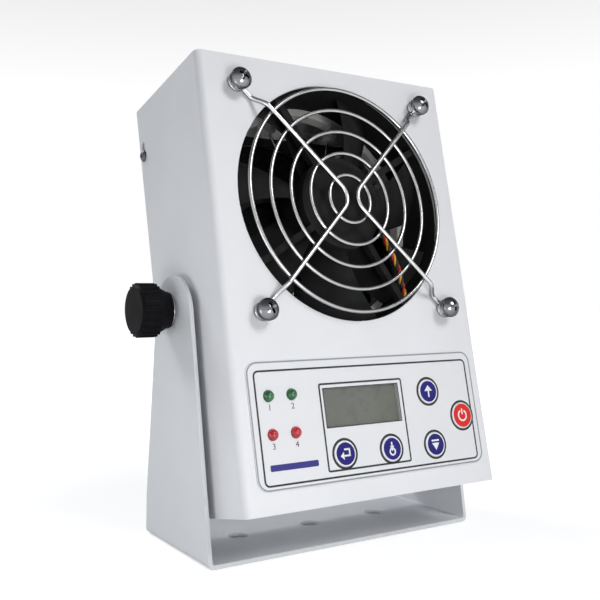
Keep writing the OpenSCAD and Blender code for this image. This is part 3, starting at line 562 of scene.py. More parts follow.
class Form:
    """A mesh under construction in its own frame, made of closed shells."""

    def __init__(self) -> None:
        """Starts an empty mesh."""
        self.mesh = bmesh.new()

    def loft(self, rings: Sequence[Sequence[Point]], closed: bool = False, capped: bool = True) -> None:
        """Joins rings of equally many points by walls.

        Args:
            rings: The rings; a ring of one point is a pole.
            closed: Whether the last ring joins the first.
            capped: Whether open ends get a flat cap.
        """
        made = [[self.mesh.verts.new(point) for point in ring] for ring in rings]
        pairs = list(zip(made, made[1:])) + ([(made[-1], made[0])] if closed else [])
        for lower, upper in pairs:
            count = max(len(lower), len(upper))
            for i in range(count):
                j = (i + 1) % count
                corners = [lower[i % len(lower)], lower[j % len(lower)], upper[j % len(upper)], upper[i % len(upper)]]
                self.mesh.faces.new(list(dict.fromkeys(corners)))
        if capped and not closed:
            for ring in (made[0], made[-1]):
                if len(ring) > 2:
                    self.mesh.faces.new(ring)

    def revolve(self, profile: Sequence[Flat], segments: int = 64) -> None:
        """Turns a profile of (radius, height) points about the z axis; a radius of 0 makes a pole."""
        self.loft([[(x, y, z) for x, y in circle(r, segments)] if r > 0 else [(0, 0, z)] for r, z in profile])

    def sweep(self, route: Sequence[Vector], radius: float, sides: int = 14, closed: bool = False) -> None:
        """Sweeps a round wire along a route.

        Args:
            route: Points along the wire's middle.
            radius: Radius of the wire.
            sides: Sides of its section.
            closed: Whether the wire joins its own start.
        """
        count = len(route)
        rings = []
        across: Vector | None = None
        for i, point in enumerate(route):
            after = route[(i + 1) % count] if closed else route[min(i + 1, count - 1)]
            before = route[i - 1] if closed or i else route[0]
            along = (after - before).normalized()
            across = (across or along.orthogonal()) - along * (across or along.orthogonal()).dot(along)
            across.normalize()
            other = along.cross(across)
            rings.append([point + radius * (math.cos(a) * across + math.sin(a) * other) for a in turns(sides)])
        self.loft(rings, closed)

    def prism(self, outline: Sequence[Flat], low: float, high: float) -> None:
        """Raises a flat outline from one height to another."""
        self.loft([[(x, y, z) for x, y in outline] for z in (low, high)])

    def band(self, outer: Sequence[Flat], inner: Sequence[Flat], low: float, high: float) -> None:
        """Raises the strip between two outlines of equally many points."""
        self.loft([[(x, y, z) for x, y in line] for line, z in
                   ((outer, low), (outer, high), (inner, high), (inner, low))], closed=True)

    def add(self, other: bpy.types.Mesh, matrix: Matrix) -> None:
        """Adds a copy of a finished mesh, moved by a matrix."""
        before = len(self.mesh.verts)
        self.mesh.from_mesh(other)
        self.mesh.verts.ensure_lookup_table()
        bmesh.ops.transform(self.mesh, matrix=matrix, verts=self.mesh.verts[before:])

    def shell(self, name: str, matrix: Matrix) -> bpy.types.Mesh:
        """Closes the form into a mesh, with crisp edges marked, and returns it.

        Args:
            name: Name of the mesh.
            matrix: Where the form's own frame stands in the row frame.

        Returns:
            The finished mesh, in the row frame.
        """
        bmesh.ops.transform(self.mesh, matrix=matrix, verts=self.mesh.verts)
        bmesh.ops.recalc_face_normals(self.mesh, faces=self.mesh.faces)
        for face in self.mesh.faces:
            face.smooth = True
        for edge in self.mesh.edges:
            edge.smooth = len(edge.link_faces) == 2 and edge.calc_face_angle(0) < SHARP
        mesh = bpy.data.meshes.new(name)
        self.mesh.to_mesh(mesh)
        self.mesh.free()
        return mesh

    def piece(self, name: str, matrix: Matrix, finish: Finish, body: str) -> bpy.types.Object:
        """Makes the form a piece that rides on a body.

        Args:
            name: Name of the piece.
            matrix: Where the form's own frame stands in the row frame.
            finish: The piece's finish.
            body: The body that it rides on.

        Returns:
            The piece.
        """
        thing = placed(name, self.shell(name, matrix))
        thing.data.materials.append(finish.material())
        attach(thing, body)
        LOG.info("made %s on %s", name, body)
        return thing


def placed(name: str, data: bpy.types.ID) -> bpy.types.Object:
    """Makes an object of some data, and puts it into the scene."""
    thing = bpy.data.objects.new(name, data)
    bpy.context.scene.collection.objects.link(thing)
    return thing


def turns(count: int) -> list[float]:
    """Returns equally spaced angles of a full turn."""
    return [2 * math.pi * i / count for i in range(count)]


def circle(radius: float, count: int, middle: Flat = (0, 0)) -> list[Flat]:
    """Returns equally spaced points of a circle."""
    return [(middle[0] + radius * math.cos(a), middle[1] + radius * math.sin(a)) for a in turns(count)]


def square(pitch: float) -> list[Flat]:
    """Returns the corners of a square about the middle."""
    return [(x * pitch / 2, y * pitch / 2) for x in (-1, 1) for y in (-1, 1)]


def measured(box: Box) -> tuple[float, float, Flat]:
    """Returns the width, height and middle of a box of left, bottom, right and top."""
    x0, y0, x1, y1 = box
    return x1 - x0, y1 - y0, ((x0 + x1) / 2, (y0 + y1) / 2)


def arc(centre: Flat, radius: float, start: float, end: float, steps: int) -> list[Flat]:
    """Returns points along an arc, its angles in degrees."""
    angles = [math.radians(start + (end - start) * i / steps) for i in range(steps + 1)]
    return [(centre[0] + radius * math.cos(a), centre[1] + radius * math.sin(a)) for a in angles]


def rounded(width: float, height: float, radius: float, middle: Flat = (0, 0), steps: int = 6) -> list[Flat]:
    """Returns the outline of a rectangle with round corners."""
    x, y = width / 2 - radius, height / 2 - radius
    corners = ((x, y, 0), (-x, y, 90), (-x, -y, 180), (x, -y, 270))
    return [point for cx, cy, start in corners
            for point in arc((middle[0] + cx, middle[1] + cy), radius, start, start + 90, steps)]


def smooth_route(points: Sequence[Point], steps: int) -> list[Vector]:
    """Returns a smooth route through points, with a number of steps for each stretch."""
    knots = [Vector(point) for point in points]
    route = []
    for i in range(len(knots) - 1):
        a, b, c, d = (knots[max(0, min(len(knots) - 1, i + k))] for k in (-1, 0, 1, 2))
        for k in range(steps):
            u = k / steps
            route.append(0.5 * (2 * b + (c - a) * u + (2 * a - 5 * b + 4 * c - d) * u * u
                                + (3 * b - a - 3 * c + d) * u * u * u))
    return route + [knots[-1]]


def soften(thing: bpy.types.Object, width: float) -> None:
    """Rounds a CAD node's crisp edges a little, so that they catch the light.

    Args:
        thing: The node.
        width: Width of the rounding.
    """
    weld = thing.modifiers.new("weld", "WELD")
    weld.merge_threshold = SAME_POINT
    flat = thing.modifiers.new("flatten", "DECIMATE")
    flat.decimate_type = "DISSOLVE"
    flat.angle_limit = SAME_PLANE
    bevel = thing.modifiers.new("bevel", "BEVEL")
    bevel.width = width
    bevel.segments = 2
    bevel.limit_method = "ANGLE"
    bevel.angle_limit = SHARP
    bevel.use_clamp_overlap = True
    normals = thing.modifiers.new("normals", "WEIGHTED_NORMAL")
    normals.keep_sharp = False


# ---------- places ----------


class Places:
    """Where things are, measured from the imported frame."""

    def __init__(self, frame: dict) -> None:
        """Reads the joints and solids of the frame.
        """
        self.nodes = frame["nodes"]
        joints = {joint["name"]: joint for joint in frame["joints"]}
        self.pivot = Vector(joints["housing_tilt"]["pos_m"])
        self.inward = Vector(joints["fan_spin"]["axis"]).normalized()
        self.outward = -self.inward
        self.up = X_AXIS.cross(self.inward)
        self.fan = Vector(joints["fan_spin"]["pos_m"])
        self.front = self.span("front_shell", self.outward)[1]
        self.rear = self.span("rear_cover", self.inward)[1]

    def span(self, node: str, direction: Vector) -> Flat:
        """Returns a node's lowest and highest reach along a direction."""
        reaches = [vertex.co.dot(direction) for vertex in self.nodes[node].data.vertices]
        return min(reaches), max(reaches)

    def middle(self, node: str) -> Flat:
        """Returns the middle of a node on the front, to the right and up."""
        return tuple(sum(self.span(node, axis)) / 2 for axis in (X_AXIS, self.up))

    def facing(self, x: float, up: float, out: float) -> Matrix:
        """Returns a frame on the front, its x to the right, y up and z out of the front.

        Args:
            x: How far to the right.
            up: How far along the housing's own upright.
            out: How far along the way out of the front.

        Returns:
            The frame's matrix.
        """
        turn = Matrix((X_AXIS, self.up, self.outward)).transposed()
        return Matrix.Translation(turn @ Vector((x, up, out))) @ turn.to_4x4()

    def at_back(self, x: float, up: float, out: float) -> Matrix:
        """Returns a frame on the back, its x to the right as seen from behind, y up and z out of the back."""
        turn = Matrix((-X_AXIS, self.up, self.inward)).transposed()
        return Matrix.Translation(turn @ Vector((-x, up, out))) @ turn.to_4x4()


def dress(places: Places, finishes: dict[str, Finish], edges: dict[str, float]) -> None:
    """Gives CAD nodes their finish, and rounds the edges of those that have a width.

    Args:
        places: The places of the frame.
        finishes: The finish of each node.
        edges: Width of the edge rounding of some nodes.
    """
    for node, finish in finishes.items():
        thing = places.nodes[node]
        for slot in thing.material_slots:
            slot.material = finish.material()
        if node in edges:
            soften(thing, edges[node])
        LOG.info("dressed %s as %s", node, finish.name)


# ---------- screws ----------


@dataclass(frozen=True)
class CrossScrew:
    """Head of a cross-recessed pan screw, which rises from z = 0 with its shank below."""

    head_r: float
    head_h: float
    shank_r: float
    length: float
    crown_share: float = 0.7
    slot_w: float = 0.26
    slot_reach: float = 0.64
    slot_depth: float = 0.62
    slot_ends: tuple[Flat, Flat] = ((0.35, 0.7), (1.15, 1.1))  # share of its reach and width, low and high
    slot_top: float = 1.2
    lead_in: float = 0.3 * MM
    crown_steps: int = 9
    sides: int = 40

    def profile(self) -> list[Flat]:
        """Returns the head and shank's profile, from the crown to the shank's end."""
        rise = self.head_h * self.crown_share
        crown = (self.head_r ** 2 + rise ** 2) / (2 * rise)
        centre = self.head_h - crown
        angles = [math.asin(self.head_r / crown) * i / self.crown_steps for i in range(self.crown_steps + 1)]
        dome = [(crown * math.sin(a), centre + crown * math.cos(a)) for a in angles]
        return dome + [(self.head_r, 0.0), (self.shank_r, 0.0), (self.shank_r, -self.length + self.lead_in),
                       (self.shank_r - self.lead_in, -self.length), (0.0, -self.length)]

    def mesh(self, name: str) -> bpy.types.Mesh:
        """Returns the screw's mesh, with the cross cut into its head."""
        body = Form()
        body.revolve(self.profile(), self.sides)
        cut = Form()
        half, reach = self.head_r * self.slot_w / 2, self.head_r * self.slot_reach
        heights = (self.head_h * (1 - self.slot_depth), self.head_h * self.slot_top)
        for turn in (0, 90):
            spin = Matrix.Rotation(math.radians(turn), 3, "Z")
            cut.loft([[spin @ Vector((x * reach * long, y * half * wide, z)) for x, y in
                       ((-1, -1), (1, -1), (1, 1), (-1, 1))] for (long, wide), z in zip(self.slot_ends, heights)])
        things = [placed(name + part, form.shell(name + part, UNIT))
                  for part, form in (("_head", body), ("_cut", cut))]
        boolean = things[0].modifiers.new("cross", "BOOLEAN")
        boolean.operation = "DIFFERENCE"
        boolean.object = things[1]
        boolean.solver = "EXACT"
        boolean.use_self = True
        depsgraph = bpy.context.evaluated_depsgraph_get()
        mesh = bpy.data.meshes.new_from_object(things[0].evaluated_get(depsgraph))
        for thing in things:
            bpy.data.objects.remove(thing)
        return mesh


def screw_set(name: str, screw: CrossScrew, spots: Sequence[Matrix], finish: Finish, body: str) -> bpy.types.Object:
    """Makes one piece of several equal screws.

    Args:
        name: Name of the piece.
        screw: The screw.
        spots: The frame of each screw.
        finish: Their finish.
        body: The body that they ride on.

    Returns:
        The piece.
    """
    form = Form()
    mesh = screw.mesh(name)
    for index, spot in enumerate(spots):
        form.add(mesh, spot @ Matrix.Rotation(math.radians(FIRST_TURN + NEXT_TURN * index), 4, "Z"))
    return form.piece(name, UNIT, finish, body)


# ---------- sub-assemblies ----------


@dataclass
class Stand:
    """The folded stand, and the washers and hand knobs on its arms."""

    edge: float = 0.3 * MM
    knob_edge: float = 0.16 * MM
    washer_edge: float = 0.12 * MM

    def build(self, places: Places) -> None:
        """Dresses the stand and its knobs."""
        dress(places, {
            "stand": STAND_COAT, "left_washer": WIRE_PLATE, "right_washer": WIRE_PLATE,
            "left_knob": KNOB_PLASTIC, "right_knob": KNOB_PLASTIC,
            "left_stud": ZINC, "right_stud": ZINC, "friction_discs": REAR_PLASTIC, "pivot_nuts": ZINC,
        }, {"stand": self.edge, "left_knob": self.knob_edge, "right_knob": self.knob_edge,
            "left_washer": self.washer_edge, "right_washer": self.washer_edge})


@dataclass
class Housing:
    """The sheet-metal shells and the screws that join them."""

    edge: float = 0.28 * MM
    screw: CrossScrew = CrossScrew(2.9 * MM, 1.8 * MM, 1.5 * MM, 6 * MM)
    screw_back: float = 4 * MM
    screw_heights: Flat = (-78 * MM, 84 * MM)
    screw_gap: float = 0.05 * MM
    fold: float = 7 * MM
    skin: Flat = (0.5 * MM, 1.5 * MM)  # from the back and from the front

    def build(self, places: Places) -> None:
        """Dresses the shells and makes the side screws."""
        shells = ("front_shell", "rear_cover")
        inside = []
        for axis, low_inset, high_inset in ((X_AXIS, self.fold, self.fold), (places.up, self.fold, self.fold),
                                            (places.outward, *self.skin)):
            reaches = [places.span(shell, axis) for shell in shells]
            inside.append((tuple(axis), min(low for low, _ in reaches) + low_inset,
                           max(high for _, high in reaches) - high_inset))
        # the shells' inner faces get near-black painted shade
        coat = ShellCoat(HOUSING_COAT.name, HOUSING_COAT.colour, inside=tuple(inside))
        dress(places, {shell: coat for shell in shells},
              {"front_shell": self.edge, "rear_cover": self.edge})
        low, high = places.span("front_shell", X_AXIS)
        back = places.rear - self.screw_back
        spots = []
        for side, x in ((-1, low - self.screw_gap), (1, high + self.screw_gap)):
            for height in self.screw_heights:
                up = places.pivot.dot(places.up) + height
                spot = Matrix.Translation(places.facing(x, up, -back).translation)
                spots.append(spot @ Matrix.Rotation(math.radians(90 * side), 4, "Y"))
        screws = screw_set("side_screws", self.screw, spots, BLACKENED, "housing")
        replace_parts(screws, "cover_screws")


class Sign(Enum):
    """The sign on a key."""

    UP = "up"
    DOWN = "down"
    BACK = "back"
    PRESS = "press"
    POWER = "power"


@dataclass
class Key:
    """A round key with a printed ring and sign on its cap."""

    node: str
    sign: Sign
    finish: Finish
    radius: float = 5.8 * MM
    edge: float = 0.45 * MM
    face: float = 5.0 * MM
    inlay_t: float = 0.5 * MM
    print_t: float = 0.03 * MM
    stroke: float = 0.8 * MM
    stem: float = 2 * MM
    flange: Flat = (1.4 * MM, 1 * MM)
    sides: int = 72

    def build(self, places: Places) -> None:
        """Makes the cap, its ring and its sign."""
        low, high = places.span(self.node, places.outward)
        spot = places.facing(*places.middle(self.node), high)
        r, e, stem, foot = self.radius, self.edge, self.stem, low - high
        flange_r, front = r + self.flange[0], places.front - high - BEHIND_SHEET
        back = front - self.flange[1]
        cap = Form()
        cap.revolve([(0, foot), (stem, foot), (stem, back), (flange_r, back), (flange_r, front), (r, front),
                     *arc((r - e, -e), e, 0, 90, 5), (self.face, 0)], self.sides)
        piece = cap.piece(self.node + "_cap", spot, WHITE_INK, self.node)
        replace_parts(piece, self.node)
        inlay = Form()
        inlay.revolve([(0, -self.inlay_t), (self.face, -self.inlay_t), (self.face, self.print_t / 2),
                       (0, self.print_t / 2)], self.sides)
        inlay.piece(self.node + "_inlay", spot, self.finish, self.node)
        sign = Form()
        self.draw(sign)
        sign.piece(self.node + "_sign", spot, WHITE_INK, self.node)

    def bar(self, form: Form, start: Flat, end: Flat) -> None:
        """Draws one straight stroke of the sign, in millimetres from the key's middle."""
        a, b = Vector(start) * MM, Vector(end) * MM
        across = Vector((a.y - b.y, b.x - a.x)).normalized() * self.stroke / 2
        form.prism([a - across, b - across, b + across, a + across], PRINT_UNDER, self.print_t)

    def shape(self, form: Form, *corners: Flat) -> None:
        """Draws one filled shape of the sign, its corners in millimetres from the key's middle."""
        form.prism([(x * MM, y * MM) for x, y in corners], PRINT_UNDER, self.print_t)

    def bow(self, form: Form, radius: float, start: float, end: float, middle: Flat = (0, 0)) -> None:
        """Draws one curved stroke, in millimetres and degrees."""
        centre = (middle[0] * MM, middle[1] * MM)
        outer, inner = (arc(centre, radius * MM + half, start, end, 20)
                        for half in (self.stroke / 2, -self.stroke / 2))
        form.prism(outer + inner[::-1], PRINT_UNDER, self.print_t)

    def draw(self, form: Form) -> None:
        """Draws the key's sign."""
        if self.sign is Sign.UP:
            self.shape(form, (-2.4, 0.2), (2.4, 0.2), (0, 3.0))
            self.bar(form, (0, -2.7), (0, 1.0))
        elif self.sign is Sign.DOWN:
            self.bar(form, (-2.3, 1.9), (2.3, 1.9))
            self.shape(form, (-2.2, 0.7), (0, -2.6), (2.2, 0.7))
        elif self.sign is Sign.BACK:
            self.shape(form, (-2.9, -0.9), (-0.9, 0.9), (-0.9, -2.7))
            self.bar(form, (-1.2, -0.9), (2.6, -0.9))
            self.bar(form, (2.2, -0.9), (2.2, 2.2))
            self.bar(form, (-0.6, 1.9), (2.6, 1.9))
        elif self.sign is Sign.PRESS:
            self.bow(form, 1.5, 0, 360, (0, -1.3))
            self.shape(form, (-1.2, 1.3), (0, -1.2), (1.2, 1.3))
            self.bar(form, (0, 0.6), (0, 3.1))
        elif self.sign is Sign.POWER:
            self.bow(form, 2.5, 118, 422)
            self.bar(form, (0, 0.5), (0, 3.3))


@dataclass
class ControlPanel:
    """The overlay with its print, the keys, the lamps and the display."""

    lamp_r: float = 2.5 * MM
    lamp_xs: Flat = (-54.5 * MM, -42.8 * MM)
    lamp_body: float = 7 * MM
    lamp_flange: Flat = (0.4 * MM, 1 * MM)
    lamp_lead: tuple[float, float, float] = (1.27 * MM, 0.28 * MM, 6.5 * MM)  # offset, radius, depth of its top
    green_y: float = 12.5 * MM
    red_y: float = -4 * MM
    print_t: float = 0.025 * MM
    line_w: float = 0.85 * MM
    edge: float = 0.2 * MM
    # the band of painted edge shade: how much larger its outer and inner outlines are than the overlay, and their
    # corners
    film_edge_painted_shade: tuple[Flat, Flat] = ((-0.5 * MM, 5.2 * MM), (-1.9 * MM, 4.6 * MM))
    display_edge: tuple[Flat, Flat] = ((1.1 * MM, 0.4 * MM), (0.15 * MM, 0.1 * MM))
    key_ring: Flat = (1.15 * MM, 0.12 * MM)
    display: Flat = (42 * MM, 16.8 * MM)
    glass: tuple[float, float, Flat] = (1 * MM, 0.3 * MM, (-0.12 * MM, -0.03 * MM))
    frames: tuple[tuple[Box, float], ...] = (
        ((-61.2 * MM, -25.6 * MM, 61.2 * MM, 23.6 * MM), 2.6 * MM),
        ((-28.5 * MM, -22.8 * MM, 19 * MM, 16.3 * MM), 1.2 * MM),
    )
    bar_box: Box = (-57.5 * MM, -19.3 * MM, -33 * MM, -16.6 * MM)
    bar_corner: float = 0.6 * MM
    number_h: float = 2.6 * MM
    number_gap: float = 1.1 * MM
    digit_share: float = 0.7  # height of a digit as a share of the font's size
    keys: list[Key] = field(default_factory=lambda: [
        Key("up_key", Sign.UP, KEY_BLUE), Key("down_key", Sign.DOWN, KEY_BLUE),
        Key("menu_key", Sign.BACK, KEY_BLUE), Key("enter_key", Sign.PRESS, KEY_BLUE),
        Key("power_key", Sign.POWER, KEY_RED, 6.3 * MM, face=5.7 * MM),
    ])

    def build(self, places: Places) -> None:
        """Makes the whole panel."""
        dress(places, {
            "panel_overlay": FILM, "display_window": WINDOW, "display_module": REAR_PLASTIC,
            "control_board": BOARD, "board_standoffs": ZINC, "board_screws": ZINC, "tact_switches": REAR_PLASTIC,
        }, {"panel_overlay": self.edge})
        x, up = places.middle("panel_overlay")
        self.top = places.span("panel_overlay", places.outward)[1]
        self.spot = places.facing(x, up, self.top)
        self.print_lines(*(high - low for low, high in
                           (places.span("panel_overlay", axis) for axis in (X_AXIS, places.up))))
        self.print_numbers()
        self.build_display(places)
        for key in self.keys:
            key.build(places)
            self.print_key_outline(places, key, (x, up))
        self.build_lamps(places)

    def print_lines(self, width: float, height: float) -> None:
        """Prints the grey band along the overlay's edge, painted shade of the overlay's raised edge, and the black
        border, the frame round the display and the name's bar.
        """
        # grey band of painted shade along the overlay's edge
        self.print_edge("overlay_edge_painted_shade_band", width, height, self.film_edge_painted_shade, self.spot, FILM_EDGE_PAINTED_SHADE)
        lines = Form()
        for box, corner in self.frames:
            width, height, middle = measured(box)
            lines.band(*(rounded(width - 2 * inset, height - 2 * inset, corner - inset, middle)
                         for inset in (0, self.line_w)), PRINT_UNDER, self.print_t)
        lines.piece("panel_line_print", self.spot, BLACK_INK, "housing")
        width, height, middle = measured(self.bar_box)
        bar = Form()
        bar.prism(rounded(width, height, self.bar_corner, middle), PRINT_UNDER, self.print_t)
        bar.piece("panel_blue_bar_print", self.spot, BLUE_INK, "housing")

    def print_edge(self, name: str, width: float, height: float, lines: tuple[Flat, Flat],
                   spot: Matrix, ink: Finish) -> None:
        """Prints a line round a rectangle.

        Args:
            name: Name of the piece.
            width: Width of the rectangle.
            height: Height of the rectangle.
            lines: How much larger the line's outer and inner outlines are, and the radius of their corners.
            spot: The frame of the rectangle.
            ink: The line's finish.
        """
        form = Form()
        form.band(*(rounded(width + more, height + more, corner) for more, corner in lines), PRINT_UNDER, self.print_t)
        form.piece(name, spot, ink, "housing")

    def print_numbers(self) -> None:
        """Prints a plain number under each lamp."""
        form = Form()
        spots = [(x, y) for y in (self.green_y, self.red_y) for x in self.lamp_xs]
        for index, (x, y) in enumerate(spots):
            curve = bpy.data.curves.new("number", "FONT")
            curve.body = str(index + 1)
            curve.size = self.number_h / self.digit_share
            curve.align_x = "CENTER"
            curve.extrude = self.print_t / 2
            thing = placed("number", curve)
            mesh = bpy.data.meshes.new_from_object(thing.evaluated_get(bpy.context.evaluated_depsgraph_get()))
            low = y - self.lamp_r - self.number_gap - self.number_h
            form.add(mesh, Matrix.Translation((x, low, self.print_t / 2)))
            bpy.data.objects.remove(thing)
        form.piece("lamp_number_print", self.spot, BLACK_INK, "housing")

    def print_key_outline(self, places: Places, key: Key, panel: Flat) -> None:
        """Prints the thin black ring round a key."""
        x, up = places.middle(key.node)
        ring = Form()
        middle = (x - panel[0], up - panel[1])
        ring.band(*(circle(key.radius + more, key.sides, middle) for more in self.key_ring),
                  PRINT_UNDER, self.print_t)
        ring.piece(key.node + "_outline_print", self.spot, BLACK_INK, "housing")

    def build_display(self, places: Places) -> None:
        """Makes the display's glass under its window, and prints its border."""
        x, up = places.middle("display_window")
        width, height = self.display
        under = places.span("display_window", places.outward)[0]
        more, corner, heights = self.glass
        glass = Form()
        glass.prism(rounded(width + more, height + more, corner), *heights)
        glass.piece("display_glass", places.facing(x, up, under), DISPLAY_GLASS, "housing")
        self.print_edge("display_border_print", width, height, self.display_edge,
                        places.facing(x, up, self.top), BLACK_INK)

    def build_lamps(self, places: Places) -> None:
        """Makes the four lamps, a domed lens on a flanged body with two leads."""
        r, body, flange_r = self.lamp_r, -self.lamp_body, self.lamp_r + self.lamp_flange[0]
        apart, lead_r, lead_top = self.lamp_lead
        foot = places.span("green_lamps", places.outward)[0] - self.top
        front = places.front - self.top - BEHIND_SHEET
        back = front - self.lamp_flange[1]
        for node, y, finish in (("green_lamps", self.green_y, LAMP_GREEN), ("red_lamps", self.red_y, LAMP_RED)):
            form = Form()
            for x in self.lamp_xs:
                lamp = Form()
                lamp.revolve([(0, body), (r, body), (r, back), (flange_r, back), (flange_r, front), (r, front),
                              *arc((0, 0), r, 0, 84, 10), (0, r)], 48)
                for side in (-apart, apart):
                    lamp.sweep([Vector((side, 0, foot)), Vector((side, 0, -lead_top))], lead_r)
                form.add(lamp.shell("lamp", UNIT), Matrix.Translation((x, y, 0)))
            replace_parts(form.piece(node + "_lens", self.spot, finish, "housing"), node)


@dataclass
class Guard:
    """The welded wire guard with its screws and washers."""

    pitch: float = 105 * MM
    ring_wire: float = 0.95 * MM
    spoke_wire: float = 1.1 * MM
    rings: tuple[float, ...] = (54 * MM, 43.4 * MM, 32.8 * MM, 22.2 * MM, 11.6 * MM)
    rise: float = 4.7 * MM
    eye_r: float = 3.3 * MM
    fillet: float = 7.7 * MM
    shoulder: float = 57 * MM
    foot: float = 66 * MM
    eye_wire: float = 1.13 * MM
    eye_gap: float = 0.05 * MM
    head_r: float = 5 * MM
    head_h: float = 4.2 * MM
    shank_r: float = 1.95 * MM
    weld: float = 0.15 * MM
    washer_edge: float = 0.1 * MM
    middle_gap: float = 0.3 * MM
    wire_sides: int = 16
    ring_steps: int = 160
    eye_steps: int = 48
    leg_steps: int = 16
    bend_steps: int = 14

    def build(self, places: Places) -> None:
        """Makes the rings, the spokes and the screws, and dresses the washers."""
        base = places.facing(0, places.fan.dot(places.up), places.front)
        self.foot_z = self.eye_wire + self.eye_gap
        rings = Form()
        for radius in self.rings:
            rings.sweep([Vector((x, y, self.rise)) for x, y in circle(radius, self.ring_steps)],
                        self.ring_wire, self.wire_sides, closed=True)
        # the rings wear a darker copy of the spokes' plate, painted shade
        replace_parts(rings.piece("guard_wire_rings", base, RING_PLATE_PAINTED_DARK, "housing"), "guard_rings")
        spokes = Form()
        for side in (-1, 1):
            route = [*self.leg(side, 1), *self.bend(side), *reversed(self.leg(side, -1))]
            spokes.sweep(route, self.spoke_wire, self.wire_sides)
            for up in (-1, 1):
                eye = Matrix.Translation((side * self.pitch / 2, up * self.pitch / 2, self.foot_z))
                spokes.sweep([eye @ Vector((x, y, 0)) for x, y in circle(self.eye_r, self.eye_steps)],
                             self.eye_wire, self.wire_sides, closed=True)
        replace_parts(spokes.piece("guard_wire_spokes", base, WIRE_PLATE, "housing"), "guard_spokes")
        tail, crown = (reach - places.front for reach in places.span("guard_screws", places.outward))
        head_at = crown - self.head_h
        screw = CrossScrew(self.head_r, self.head_h, self.shank_r, head_at - tail)
        spots = [base @ Matrix.Translation((x, y, head_at)) for x, y in square(self.pitch)]
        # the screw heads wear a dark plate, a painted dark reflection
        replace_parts(screw_set("guard_cross_screws", screw, spots, SCREW_PLATE_PAINTED_DARK, "housing"), "guard_screws")
        dress(places, {"guard_washers": WIRE_PLATE, "fan_nuts": ZINC}, {"guard_washers": self.washer_edge})

    def height(self, distance: float) -> float:
        """Returns the height of a spoke's middle at a distance from the fan's axis."""
        top = self.rise + self.ring_wire + self.spoke_wire - self.weld
        u = max(0.0, min(1.0, (self.foot - distance) / (self.foot - self.shoulder)))
        return self.foot_z + (top - self.foot_z) * u * u * (3 - 2 * u)

    def leg(self, side: int, up: int) -> list[Vector]:
        """Returns one half of a spoke, from its eye to its middle bend."""
        reach = self.pitch / math.sqrt(2) - self.eye_r
        count, slope = self.leg_steps, self.foot - self.shoulder
        steps = [self.foot - slope * i / count for i in range(count + 1)]
        return [Vector((side * s, up * s, self.height(s) * math.sqrt(2))) / math.sqrt(2)
                for s in (reach, *steps, 0.5 * (self.shoulder + self.fillet), self.fillet + self.middle_gap)]

    def bend(self, side: int) -> list[Vector]:
        """Returns the middle bend of a spoke, a quarter turn round a point beside the axis."""
        top = self.height(0)
        angles = [math.radians(45 - 90 * i / self.bend_steps) for i in range(self.bend_steps + 1)]
        return [Vector((side * self.fillet * (math.sqrt(2) - math.cos(a)), self.fillet * math.sin(a), top))
                for a in angles]


